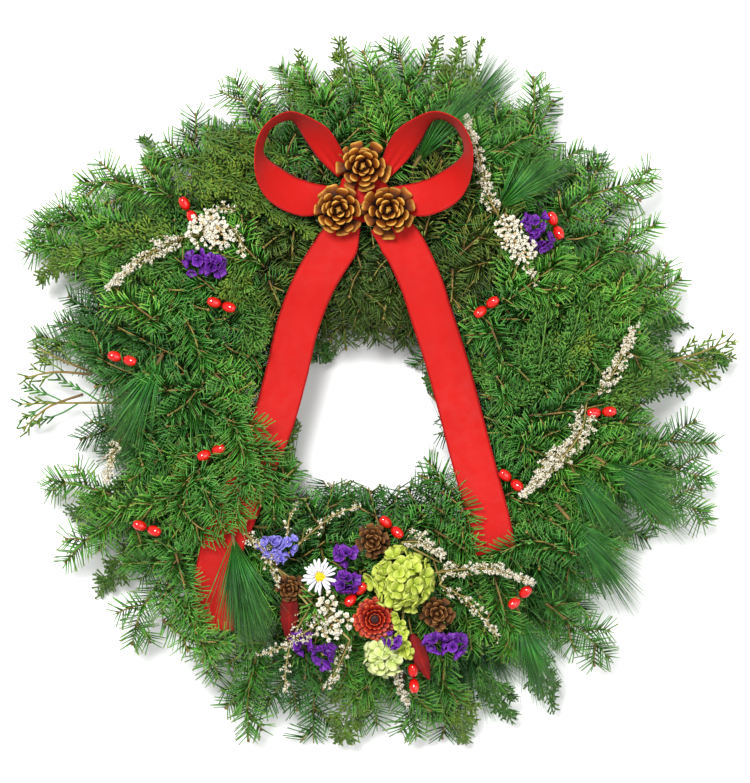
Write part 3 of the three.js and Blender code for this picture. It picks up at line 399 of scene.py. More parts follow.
def surface(name, along, chances, roughness, mottle=(60, 0.5), bump=(400, 0.2), sockets=None):
    """A material whose colour runs along each form, differs from form to form and is mottled.

    along has rows of a tone and the colour seen there, and chances rows of a draw and what it
    multiplies the colour by. roughness is a range, mottle the scale and the darkest share of the
    mottling, and bump the scale and the strength of the relief.
    """
    material = bpy.data.materials.new(name)
    material.use_nodes = True
    tree = material.node_tree
    shader = tree.nodes["Principled BSDF"]
    seen = [(tone, *srgb(colour)) for tone, *colour in along]
    base = ramp(tree, seen, attribute(tree, "tone"))
    base = multiplied(tree, base, ramp(tree, chances, attribute(tree, "chance")))
    base = multiplied(tree, base, greys(tree, mottle[1], 1, noise(tree, mottle[0])))
    tree.links.new(base, shader.inputs["Base Color"])
    rough = greys(tree, *roughness, noise(tree, mottle[0] * 3))
    tree.links.new(rough, shader.inputs["Roughness"])
    relief = tree.nodes.new("ShaderNodeBump")
    relief.inputs["Strength"].default_value = bump[1]
    relief.inputs["Distance"].default_value = RELIEF
    tree.links.new(noise(tree, bump[0]), relief.inputs["Height"])
    tree.links.new(relief.outputs[0], shader.inputs["Normal"])
    for socket, value in (sockets or {}).items():
        shader.inputs[socket].default_value = value
    return material


GREEN_DRAWS = [
    (0, 0.3, 0.42, 0.42), (0.4, 0.72, 0.8, 0.72), (0.7, 1.1, 1.08, 0.86), (0.9, 1.6, 1.32, 0.9),
    (1, 2.1, 1.6, 1.0),
]
CEDAR_DRAWS = [(0, 0.3, 0.58, 0.52), (0.35, 0.6, 1.0, 0.95), (0.7, 1.1, 1.04, 0.8), (1, 1.8, 1.4, 0.85)]
PLAIN_DRAWS = [(0, 0.75, 0.75, 0.75), (1, 1, 1, 1)]

FIR = surface(
    "fir_needles",
    [(0, 58, 98, 30), (0.5, 56, 128, 44), (0.85, 96, 168, 76), (1, 150, 200, 116)],
    GREEN_DRAWS,
    (0.3, 0.48),
)
# Painted shade: darker, browner needles for the fir that lies in the shade of the bow above the hole
SHADED_FIR = surface(
    "shaded_fir_needles",
    [(0, 62, 74, 30), (0.5, 64, 94, 36), (0.85, 98, 130, 60), (1, 142, 160, 94)],
    GREEN_DRAWS,
    (0.35, 0.5),
)
PINE = surface(
    "pine_needles",
    [(0, 62, 116, 46), (0.5, 54, 134, 56), (1, 120, 188, 100)],
    GREEN_DRAWS,
    (0.3, 0.5),
)
CEDAR = surface(
    "cedar_fronds",
    [(0, 64, 92, 28), (0.5, 86, 124, 38), (0.9, 112, 150, 52), (1, 150, 178, 84)],
    CEDAR_DRAWS,
    (0.45, 0.65),
    (90, 0.6),
    (900, 0.7),
)
BARK = surface(
    "young_bark",
    [(0, 104, 78, 38), (0.5, 150, 124, 60), (1, 158, 150, 72)],
    PLAIN_DRAWS,
    (0.6, 0.85),
    (120, 0.6),
    (700, 0.8),
)
BUD = surface("fir_buds", [(0, 124, 96, 44), (1, 176, 142, 74)], PLAIN_DRAWS, (0.4, 0.6))
ENAMEL = surface("green_enamel", [(0, 40, 66, 40), (1, 44, 72, 44)], PLAIN_DRAWS, (0.3, 0.5), (90, 0.7))

# Reading the stems of a bunch off its solid
# The shortest needle there
SHORTEST_NEEDLE = 8
# How far from a run of rings its foot and its tip lie at least
END_REACH = 6
# The widest bare stretch of a stem, and how straight it runs there
WIDEST_GAP, STRAIGHT = 45, 0.9


def corners_of(mesh):
    """A solid's separate corners, with the edges that face each one and the corners next to it."""
    raw = np.array([v.co[:] for v in mesh.vertices]) / MM - RING
    mesh.calc_loop_triangles()
    flat = np.array([t.vertices[:] for t in mesh.loop_triangles])
    places, back = np.unique(np.round(raw, 2), axis=0, return_inverse=True)
    facing = [[] for _ in places]
    for a, b, c in back.reshape(-1)[flat]:
        facing[a].append((b, c))
        facing[b].append((c, a))
        facing[c].append((a, b))
    linked = [set(sum(map(tuple, pairs), ())) for pairs in facing]
    return places, facing, linked


def needle_roots(places, facing, linked):
    """The corner at each needle's tip, with the four corners round its root."""
    roots = {}
    for i, pairs in enumerate(facing):
        if len(pairs) != 4 or len(linked[i]) != 4:
            continue
        follow = dict(pairs)
        root = [pairs[0][0]]
        while len(root) < 4 and follow.get(root[-1]) is not None:
            root.append(follow[root[-1]])
        length = min(np.linalg.norm(places[c] - places[i]) for c in root)
        if len(set(root)) == 4 and length > SHORTEST_NEEDLE:
            roots[i] = root
    return roots


def stems_of(node):
    """The part's stems in a bunch, each as places from its foot to its tip.

    Every needle is a point over four corners, two on each of two rings of its stem. The rings
    of three corners give the middle of the stem, and needles that share a ring share a stem.
    """
    places, facing, linked = corners_of(NODES[node].data)
    roots = needle_roots(places, facing, linked)
    links = {}
    for tip, root in roots.items():
        p = places[root]
        way = unit(places[tip] - p.mean(0))
        sides = [p[1] - p[0] + p[2] - p[3], p[2] - p[1] + p[3] - p[0]]
        if abs(unit(sides[1]) @ way) > abs(unit(sides[0]) @ way):
            root = root[1:] + root[:1]
            p = places[root]
        along = p[1] - p[0] + p[2] - p[3]
        behind, ahead = (root[0], root[3]), (root[1], root[2])
        if along @ way < 0:
            behind, ahead = ahead, behind
        start, end = (ring_at(places, linked, roots, pair, unit(along)) for pair in (behind, ahead))
        links[start] = end
    return join_paths(chains(places, linked, roots, links))


def ring_at(places, linked, roots, pair, along):
    """The corners of the ring that holds two neighbouring corners."""
    a, b = pair
    size = np.linalg.norm(places[a] - places[b])
    shared = [
        c
        for c in linked[a] & linked[b]
        if c not in roots and max(np.linalg.norm(places[c] - places[k]) for k in pair) < 1.3 * size
    ]
    middle = (places[a] + places[b]) / 2
    shared.sort(key=lambda c: abs((places[c] - middle) @ along))
    return frozenset([a, b, *shared[:1]])


def chains(places, linked, roots, links):
    """Paths of rings that follow each other, each with the foot and the tip of its stem."""
    centre = {ring: places[list(ring)].mean(0) for pair in links.items() for ring in pair}
    reached = set(links.values())
    runs = []
    for ring in links:
        if ring in reached:
            continue
        run = [ring]
        while run[-1] in links and len(run) < 60:
            run.append(links[run[-1]])
        runs.append(run)
    runs.sort(key=len, reverse=True)
    paths = []
    for run in runs:
        points = [centre[ring] for ring in run]
        if len(points) < 2:
            continue
        start, end = unit(points[1] - points[0]), unit(points[-1] - points[-2])
        feet = [
            places[c] for corner in run[0] for c in linked[corner]
            if c not in roots and (places[c] - points[0]) @ start < -END_REACH
        ]
        tips = [
            places[c] for corner in run[-1] for c in linked[corner]
            if (places[c] - points[-1]) @ end > END_REACH and len(linked[c]) == 3
        ]
        foot = [np.mean(feet, axis=0)] if feet else []
        paths.append(np.array(foot + points + tips[:1]))
    return paths


def follows(first, second):
    """Whether a path carries on from another past a bare stretch."""
    gap = second[0] - first[-1]
    return np.linalg.norm(gap) <= WIDEST_GAP and unit(gap) @ unit(first[-1] - first[-2]) >= STRAIGHT


def join_paths(paths):
    """Joins paths where one carries on from another past a stretch with no needles."""
    pairs = ((i, j) for i, a in enumerate(paths) for j, b in enumerate(paths) if i != j and follows(a, b))
    found = next(pairs, None)
    if found is None:
        return paths
    i, j = found
    paths[i] = np.vstack([paths[i], paths[j]])
    paths.pop(j)
    return join_paths(paths)


# The greenery
# Each bunch's kind, and how far from the wreath's middle it reaches outward and starts inward
BUNCHES = {
    1: ("pine", 338, 50),
    2: ("fir", 318, 50),
    3: ("fir", 298, 58),
    4: ("cedar", 300, 64),
    5: ("fir", 322, 64),
    6: ("pine", 308, 68),
    7: ("pine", 318, 76),
    8: ("fir", 328, 82),
    9: ("fir", 332, 86),
    10: ("pine", 284, 84),
    11: ("cedar", 304, 80),
    12: ("pine", 276, 78),
    13: ("fir", 310, 74),
    14: ("cedar", 318, 62),
    15: ("fir", 296, 50),
    16: ("fir", 312, 48),
}
# How the coats of a bunch are numbered
LEAF_COAT, BARK_COAT, BUD_COAT, SHADED_COAT = range(4)
# Fir above the hole, painted darker and browner as the shade under the bow
SHADE_PATCH = {"middle": (0, 128), "half": (118, 92)}
FIR_COATS = [FIR, BARK, BUD, SHADED_FIR]

# Where trimmings lie over the greenery: the size of a cell, the draws on each square millimetre
# of their solids, the lowest height that counts, and the height of a cell with nothing over it
CELL = 2.0
FLOOR_DRAWS = 1.5
FLOOR_START = 58
OPEN_SKY = 999.0


def trimming_floor():
    """The lowest surface of the trimmings over each cell, as seen from above."""
    size = np.ceil((HIGHEST - LOWEST)[:2] / CELL).astype(int) + 3
    floor = np.full(size, OPEN_SKY)
    draw = np.random.default_rng(5)
    for name, node in NODES.items():
        if name.startswith(("fir_", "pine_bunch", "cedar_", "ring_", "binding_")):
            continue
        mesh = node.data
        mesh.calc_loop_triangles()
        places = np.array([v.co[:] for v in mesh.vertices]) / MM - RING
        first, second, third = places[np.array([t.vertices[:] for t in mesh.loop_triangles]).T]
        area = np.linalg.norm(np.cross(second - first, third - first), axis=1)
        pick = draw.choice(len(area), int(area.sum() * FLOOR_DRAWS), p=area / area.sum())
        a, b = draw.random((2, len(pick), 1))
        a, b = np.where(a + b > 1, 1 - a, a), np.where(a + b > 1, 1 - b, b)
        p = first[pick] * (1 - a - b) + second[pick] * a + third[pick] * b
        p = p[p[:, 2] > FLOOR_START]
        np.minimum.at(floor, cell_of(p), p[:, 2])
    return floor


def cell_of(points):
    """The rows and columns of the cells that places lie in."""
    cells = ((points[..., :2] - LOWEST[:2]) / CELL).astype(int) + 1
    return cells[..., 0], cells[..., 1]


FLOOR = trimming_floor()

# The wreath's hole, between an oval and a rectangle: its middle, its half sides, how square it is
HOLE = np.array([-4.0, -24.0])
HOLE_HALF = (62.0, 60.0)
HOLE_POWER = 2.6


def in_hole(points):
    """Whether places lie in the wreath's hole, whose edge is a little ragged."""
    off = (points[..., :2] - HOLE) / HOLE_HALF
    turn = np.arctan2(off[..., 1], off[..., 0])
    ragged = 1 + 0.05 * np.sin(5 * turn + 1) + 0.04 * np.sin(11 * turn)
    return (np.abs(off) ** HOLE_POWER).sum(-1) ** (1 / HOLE_POWER) < ragged


def free(points, spare=2.0):
    """Whether each row of places (rows, places, 3) stays in the box and under the trimmings."""
    inside_box = ((points > LOWEST + (1.2, 1.2, 0.5)) & (points < HIGHEST - 1.2)).all(-1).all(-1)
    across, up = (np.clip(cell, 0, size - 1) for cell, size in zip(cell_of(points), FLOOR.shape))
    under = (points[..., 2] < FLOOR[across, up] - spare).all(-1)
    return inside_box & ~in_hole(points).any(-1) & under


def needle_ways(tangents, ups, angles, turns):
    """Ways that lean off the stem by an angle, turned about it from its own up."""
    across = np.cross(tangents, ups)
    off = ups * np.cos(turns)[:, None] + across * np.sin(turns)[:, None]
    return unit(tangents * np.cos(angles)[:, None] + off * np.sin(angles)[:, None])


# Fir needles: the step between them on one side of a stem, their length and their width
FIR_STEP, FIR_LENGTH, FIR_WIDTH = 2.35, 19.5, 1.6


def add_needles(shape, draw, places, tangents, hue, spare, coat):
    """Fir needles in combs to both sides of a stem, with some along its top."""
    along = np.linalg.norm(np.diff(places, axis=0), axis=1).sum()
    count = int(along / FIR_STEP)
    if count < 2:
        return
    row = np.repeat([0, 1, 2], [count, count, count // 3])
    even = [np.linspace(start, 0.995, count) for start in (0, 0.01)]
    at = np.concatenate([*even, draw.random(count // 3)])
    at = np.clip(at + draw.normal(0, 0.3 / count, len(at)), 0, 0.998) * (len(places) - 1)
    i = at.astype(int)
    w = (at - i)[:, None]
    roots = places[i] * (1 - w) + places[i + 1] * w
    ways = unit(tangents[i] * (1 - w) + tangents[i + 1] * w)
    top = row == 2
    hand = np.where(row == 0, -1, 1)
    turns = np.where(top, draw.uniform(-45, 45, len(row)), draw.normal(78, 9, len(row)))
    angles = np.where(top, draw.normal(34, 8, len(row)), draw.normal(63, 6, len(row)))
    share = at / (len(places) - 1)
    angles = np.radians(angles) * (1 - 0.45 * share**5)
    sizes = FIR_LENGTH * np.where(top, 0.62, 1.0) * draw.uniform(0.84, 1.05, len(row))
    sizes = sizes * (0.8 + 0.2 * np.minimum(1, share * 6)) * (1 - 0.3 * share**6)
    aims = needle_ways(ways, square_to(UP, ways), angles, hand * np.radians(turns))
    tips = roots + aims * sizes[:, None]
    keep = free(np.stack([roots, (roots + tips) / 2, tips], 1), spare)
    facing = square_to(UP + 0.3 * draw.normal(size=aims.shape), aims)
    number = keep.sum()
    # Needles are paler towards the tip of a stem and at the outside of the wreath
    young = 0.25 * share**4 + 0.3 * np.clip((np.hypot(*roots[:, :2].T) - 195) / 120, 0, 1)
    widths = FIR_WIDTH * draw.uniform(0.85, 1.15, number)
    chances = np.clip(hue + young[keep] + draw.normal(0, 0.07, number), 0, 1)
    curl = draw.normal(0.04, 0.05, number)
    needles(shape, roots[keep], aims[keep], facing[keep], sizes[keep], widths, chances, curl, coat=coat)


def up_to_trimming(line, spare=2.0):
    """The first part of a stem, as far as nothing lies on it."""
    open_way = free(line[:, None], spare)
    last = len(line) if open_way.all() else int(np.argmin(open_way))
    return line[:last]


# The shoots of a fir stem: how far up its length they grow, their step and their lean
SHOOT_LAST, SHOOT_STEP, SHOOT_LEAN = 0.88, 23, 48


def side_shoots(draw, path, first, length):
    """Shoots to the left and the right of a stem, as paths, shorter towards its tip."""
    places, ways, total = spaced(path, count=40)
    shoots = []
    hand = draw.choice((-1, 1))
    at = first * total
    while at < SHOOT_LAST * total:
        share = at / total
        i = int(share * 39)
        up = square_to(UP, ways[i])
        across = np.cross(ways[i], up) * hand
        lean = np.radians(SHOOT_LEAN + draw.normal(0, 5))
        way = unit(ways[i] * np.cos(lean) + across * np.sin(lean) + up * draw.normal(0.02, 0.12))
        size = length * (1 - 0.5 * share) * draw.uniform(0.7, 1.1)
        end_way = unit(way + 0.5 * ways[i] + (0, 0, -0.12))
        middle = places[i] + way * size * 0.5
        shoots.append(smooth_through(np.array([places[i], middle, middle + end_way * size * 0.5]), 8))
        at += SHOOT_STEP * draw.uniform(0.75, 1.25)
        hand = -hand
    return shoots


# The least share of a stem that is left when it is cut at a trimming
LEAST_STEM = 0.35


def add_fir_stem(shape, draw, path, bare=0.1, size=46.0, spare=2.0, hue=None):
    """One fir spray: a stem with its side shoots, all in needles, each with buds at its tip."""
    paths = [(path, bare, 1.25)]
    paths += [(shoot, 0.04, 0.95) for shoot in side_shoots(draw, path, bare + 0.06, size)]
    # Unless it is given, a spray's hue rises with its mean height: lower sprays are painted darker, as
    # painted shade under the sprays above them.
    if hue is None:
        hue = np.clip(draw.normal(0.02 + 0.0068 * path[:, 2].mean(), 0.23), 0.02, 0.95)
    # Sprays in that patch take the darker, browner needles of painted shade
    off = (path[:, :2].mean(0) - SHADE_PATCH["middle"]) / SHADE_PATCH["half"]
    coat = SHADED_COAT if np.hypot(*off) < 1 else LEAF_COAT
    for whole, start, radius in paths:
        line = up_to_trimming(whole, spare)
        if len(line) < LEAST_STEM * len(whole):
            continue
        places, ways, _ = spaced(line, step=5.0)
        tube(shape, places, radius, max(0.65, radius * 0.5), draw.random(), 4, BARK_COAT)
        first = int(start * (len(places) - 1))
        add_needles(shape, draw, places[first:], ways[first:], hue, spare, coat)
        add_buds(shape, draw, places[-1], ways[-1], spare)


def add_buds(shape, draw, tip, way, spare):
    """Three buds at the tip of a stem, where there is room."""
    side = np.cross(way, UP)
    buds = np.stack([way, unit(way + 0.5 * side), unit(way - 0.5 * side)])
    at = tip + buds * 1.4
    if free(at[None] + buds * 2, spare)[0]:
        lengths, widths = np.array([3.8, 3.0, 3.0]), np.array([2.1, 1.7, 1.7])
        beads(shape, at, buds, lengths, widths, draw.random(3), 4, 3, BUD_COAT)


def infill_paths(draw, number):
    """Stems between the part's own: low and high ones outward, inward ones and some along the ring."""
    _, reach, hole = BUNCHES[number]
    clock = bunch_clock(number)
    paths = []

    def stem(foot, handles, tip):
        """A stem from its foot to its tip. The two handles have no clock of their own."""
        (r0, c0, z0), (r3, c3, z3) = foot, tip
        (r1, z1), (r2, z2) = handles
        c1, c2 = c0 + (c3 - c0) * 0.3, c0 + (c3 - c0) * 0.75
        points = ((r0, c0, z0), (r1, c1, z1), (r2, c2, z2), (r3, c3, z3))
        paths.append(bezier(*(clock_place(r, clock + c, z) for r, c, z in points)))

    for _ in range(6):
        tip = min(reach, 302) * draw.uniform(0.76, 0.955)
        c0, c3 = draw.uniform(-9, 9), draw.uniform(-11, 11)
        low = draw.uniform(6, 34)
        stem((168, c0, 14), ((205, 40 + low * 0.3), (tip - 50, 24 + low)), (tip, c3, low))
    for _ in range(3):
        tip = draw.uniform(205, reach * 0.86)
        c0, c3 = draw.uniform(-10, 10), draw.uniform(-14, 14)
        high = mound_height(tip, 0) - draw.uniform(8, 26)
        stem((150, c0, 48), ((165, 70), (tip - 35, high + 12)), (tip, c3, high))
    for _ in range(3):
        tip = draw.uniform(hole + 12, 135)
        c0, c3 = draw.uniform(-10, 10), draw.uniform(-12, 12)
        high = mound_height(tip, 0) - draw.uniform(10, 34)
        stem((170, c0, 40), ((150, 66), (tip + 25, high + 12)), (tip, c3, high))
    for _ in range(3):
        r0, r3 = draw.uniform(135, 205), draw.uniform(130, 225)
        turn = draw.choice((-1, 1))
        tip = (r3, turn * draw.uniform(4, 13), draw.uniform(62, 72))
        stem((r0, -turn * 9, 46), ((r0, 66), (r3, 72)), tip)
    return paths


# How long a stretch at the end of a pine stem bears needles
PINE_STRETCH = 34


def inside(path):
    """A path pulled into the box."""
    return np.clip(path, LOWEST + (4, 4, 3.5), HIGHEST - 4)


def add_pine_tuft(shape, draw, path, count, length=84.0, spare=2.0, fan=1.0):
    """Long soft needles round the last stretch of a stem, in bundles, spread most at the start."""
    step = 2.0
    places, ways, _ = spaced(path, step)
    tube(shape, places, 1.9, 1.3, draw.random(), 5, BARK_COAT)
    first = max(1, len(places) - int(PINE_STRETCH / step))
    at = draw.uniform(first, len(places) - 1.01, count)
    i = at.astype(int)
    share = (at - first) / (len(places) - 1 - first)
    roots = places[i] + (places[i + 1] - places[i]) * (at - i)[:, None]
    lean = np.radians(fan * (62 - 44 * share) * draw.uniform(0.25, 1.0, count) ** 0.7)
    turns = draw.uniform(-np.pi, np.pi, count)
    turns = np.where(np.cos(turns) < -0.3, np.pi - turns, turns)
    aims = needle_ways(ways[i], square_to(UP, ways[i]), lean, turns)
    # They lie flatter than they lean, and none ends below the floor
    aims[:, 2] *= 0.55
    aims = unit(aims)
    sizes = length * draw.uniform(0.62, 1.04, count)
    aims[:, 2] += np.maximum(0, 3.0 - (roots[:, 2] + aims[:, 2] * sizes)) / sizes
    aims = unit(aims)
    bend = draw.normal(-0.03, 0.05, count)
    facing = square_to(draw.normal(size=(count, 3)), aims)
    keep = free(bent(roots, aims, facing, sizes, bend, np.array([0, 0.35, 0.7, 1.0])), spare)
    number = keep.sum()
    widths = draw.uniform(0.8, 1.15, number)
    chances = np.clip(draw.normal(0.55, 0.26, number), 0, 1)
    long_needles(shape, roots[keep], aims[keep], facing[keep], sizes[keep], widths, chances, bend[keep])


# The width of a cedar's scaly tips
CEDAR_WIDTH = 2.1


class Frond:
    """The scaly tips of one cedar frond, gathered while its branchlets grow."""

    def __init__(self, shape, draw, hue):
        self.shape, self.draw, self.hue = shape, draw, hue
        self.tips = []

    def branchlet(self, start, way, ahead, up, size, forks):
        """A twig that bends ahead and bears tips to both sides, with two forks of its own."""
        draw = self.draw
        middle = start + way * size * 0.45
        end = middle + unit(way + 0.6 * ahead) * size * 0.55
        line = up_to_trimming(smooth_through(np.array([start, middle, end]), 8))
        if len(line) < 4:
            return
        twig, along, _ = spaced(line, step=4.8)
        tube(self.shape, twig, 1.05, 0.8, self.hue, 3)
        side = np.cross(along, up)
        for turn in (-1, 1):
            lean = np.radians(draw.normal(33, 6, len(twig)))[:, None]
            lift = up * draw.normal(0, 0.16, (len(twig), 1))
            aims = unit(along * np.cos(lean) + turn * side * np.sin(lean) + lift)
            sizes = np.linspace(8.5, 5.5, len(twig)) * draw.uniform(0.65, 1.3, len(twig))
            chances = np.clip(self.hue + draw.normal(0, 0.12, len(twig)), 0, 1)
            self.tips.append((twig, aims, np.broadcast_to(up, twig.shape), sizes, chances))
        if forks and len(twig) > 3:
            k = len(twig) // 2
            for turn in (-1, 1):
                aim = unit(along[k] + 0.65 * turn * side[k] + 0.1 * up * draw.normal())
                self.branchlet(twig[k], aim, along[k], up, size * draw.uniform(0.35, 0.5), False)

    def add_tips(self):
        """Puts the tips that have room into the shape."""
        if not self.tips:
            return
        tips = [np.concatenate(group) for group in zip(*self.tips)]
        roots, aims, _, sizes, _ = tips
        keep = free(np.stack([roots, roots + aims * sizes[:, None]], 1))
        roots, aims, ups, sizes, chances = (group[keep] for group in tips)
        curl = self.draw.normal(0, 0.08, len(roots))
        needles(self.shape, roots, aims, square_to(ups, aims), sizes, CEDAR_WIDTH, chances, curl, 0.8)


def add_cedar_frond(shape, draw, path, spread=34.0, bare=0.12, hue=None):
    """A flat lacy frond: branchlets by turns to each side, which fork and bear short blunt scaly tips."""
    path = up_to_trimming(path)
    if len(path) < 5:
        return
    places, ways, _ = spaced(path, step=6.0)
    tube(shape, places, 1.2, 0.8, 0.55, 4)
    tilt = draw.normal(0, 0.3)
    if hue is None:
        hue = np.clip(draw.normal(0.45, 0.16), 0.1, 0.9)
    frond = Frond(shape, draw, hue)
    hand = draw.choice((-1, 1))
    for i in range(int(bare * len(places)), len(places)):
        share = i / (len(places) - 1)
        up = square_to(UP + tilt * np.cross(ways[i], UP), ways[i])
        across = np.cross(ways[i], up) * hand
        lean = np.radians(draw.normal(42 - 16 * share, 6))
        way = unit(ways[i] * np.cos(lean) + across * np.sin(lean) + up * draw.normal(0, 0.14))
        size = spread * (1 - 0.6 * share) * draw.uniform(0.7, 1.2)
        frond.branchlet(places[i], way, ways[i], up, size, True)
        hand = -hand
    frond.branchlet(places[-1], ways[-1], ways[-1], up, 14, False)
    frond.add_tips()


def stem_bundle(shape, draw, number):
    """The cut stems of a bunch, lying along the ring in three layers."""
    half = BUNCH_DEGREES / 2 - 0.7
    turns = bunch_clock(number) + np.linspace(-half, half, 6)
    for z, count in ((7.6, 7), (10.7, 8), (13.6, 6)):
        for k in range(count):
            off = (k - (count - 1) / 2) * (BUNDLE_WIDTH - 4) / 8
            radii = RING_RADIUS + off + draw.normal(0, 0.5, 6)
            places = clock_place(radii, turns, z + draw.normal(0, 0.25, 6))
            radius = draw.uniform(1.3, 1.75)
            tube(shape, places, radius, radius, draw.random(), 6, BARK_COAT)


def bark_twig(shape, draw, path, shares, size, thick=1.6):
    """A long thin cedar twig, almost bare, with side twigs that bear small scaly tips."""
    places, ways, _ = spaced(up_to_trimming(path), step=4)
    tube(shape, places, thick, 0.7, draw.random(), 6, BARK_COAT)
    tip = int(0.86 * len(places))
    lines = [(places[tip:], ways[tip:])]
    hand = 1
    for share in shares:
        i = int(share * (len(places) - 1))
        side = np.cross(ways[i], UP) * hand
        reach = size * (1.5 - share)
        aim = unit(ways[i] + draw.uniform(0.4, 0.7) * side + 0.1 * UP * draw.normal())
        end = places[i] + (aim + draw.uniform(-0.2, 0.35) * ways[i]) * reach
        twig = smooth_through(np.array([places[i], places[i] + aim * reach / 2, end]), 16)
        if free(twig[None])[0]:
            line, along, _ = spaced(twig, step=3.2)
            tube(shape, line, 0.9, 0.6, 0.85, 5)
            lines.append((line, along))
        hand = -hand
    for line, along in lines:
        for turn in (-1, 1):
            add_twig_tips(shape, draw, line, along, turn)


def add_twig_tips(shape, draw, line, along, turn):
    """Scaly tips to one side of the outer half of a bare twig."""
    first = len(line) // 2 + draw.integers(0, 2)
    lean = unit(along + 0.5 * turn * np.cross(along, UP))[first::2]
    roots, sizes, hues = line[first::2], draw.uniform(4, 12, len(lean)), draw.uniform(0.6, 1, len(lean))
    keep = free((roots + lean * sizes[:, None])[:, None])
    roots, lean, sizes, hues = roots[keep], lean[keep], sizes[keep], hues[keep]
    needles(shape, roots, lean, square_to(UP, lean), sizes, CEDAR_WIDTH, hues, 0.1, 0.7)


def grow_bunch(number):
    """One bunch: its cut stems, its sprays along the part's stems, and more sprays between them."""
    kind = BUNCHES[number][0]
    node = f"{kind}_bunch_{number:02d}"
    draw = np.random.default_rng(900 + number)
    shape = Shape()
    stem_bundle(shape, draw, number)
    for path in stems_of(node):
        if len(path) > 6:
            add_spray(shape, draw, kind, path)
    if number in TWIGS:
        add_long_twig(shape, draw, *TWIGS[number])
    fir = shape if kind == "fir" else Shape()
    for path in infill_paths(draw, number):
        path = inside(path)
        if kind == "cedar" and draw.random() < CEDAR_SHARE:
            add_cedar_frond(shape, draw, path)
        else:
            add_fir_stem(fir, draw, path, size=38)
    shape.make(f"{node}_grown", COATS[kind], kind, [node])
    if kind != "fir":
        fir.make(f"fir_among_{node}", FIR_COATS, "fir")


def add_spray(shape, draw, kind, path):
    """One spray along a stem of the part."""
    inward = np.hypot(*path[-1][:2]) < RING_RADIUS
    path = smooth_through(path, 40)
    if kind == "fir":
        add_fir_stem(shape, draw, path, bare=0.12)
    elif kind == "pine":
        add_pine_tuft(shape, draw, path, 110 if inward else 170)
    else:
        add_cedar_frond(shape, draw, path)


def add_long_twig(shape, draw, clock, far):
    """A bare twig that stands out of a cedar bunch as far as the given radius."""
    foot, rise = (RING_RADIUS, clock - 1, 10.7), (205, clock - 1, 34)
    points = (foot, rise, (far - 75, clock, 26), (far - 12, clock, 22))
    path = bezier(*(clock_place(*point) for point in points), count=40)
    bark_twig(shape, draw, path, (0.55, 0.66, 0.76, 0.86), 44)


# The bunches with a long bare twig: its clock and how far it reaches
TWIGS = {4: (84.5, 345), 12: (268, 328)}
# The share of cedar sprays among those between the stems of a cedar bunch, and laid on top of it
CEDAR_SHARE, CEDAR_TOP_SHARE = 0.25, 0.4
COATS = {"fir": FIR_COATS, "pine": [PINE, BARK, BUD], "cedar": [CEDAR, BARK, BUD]}

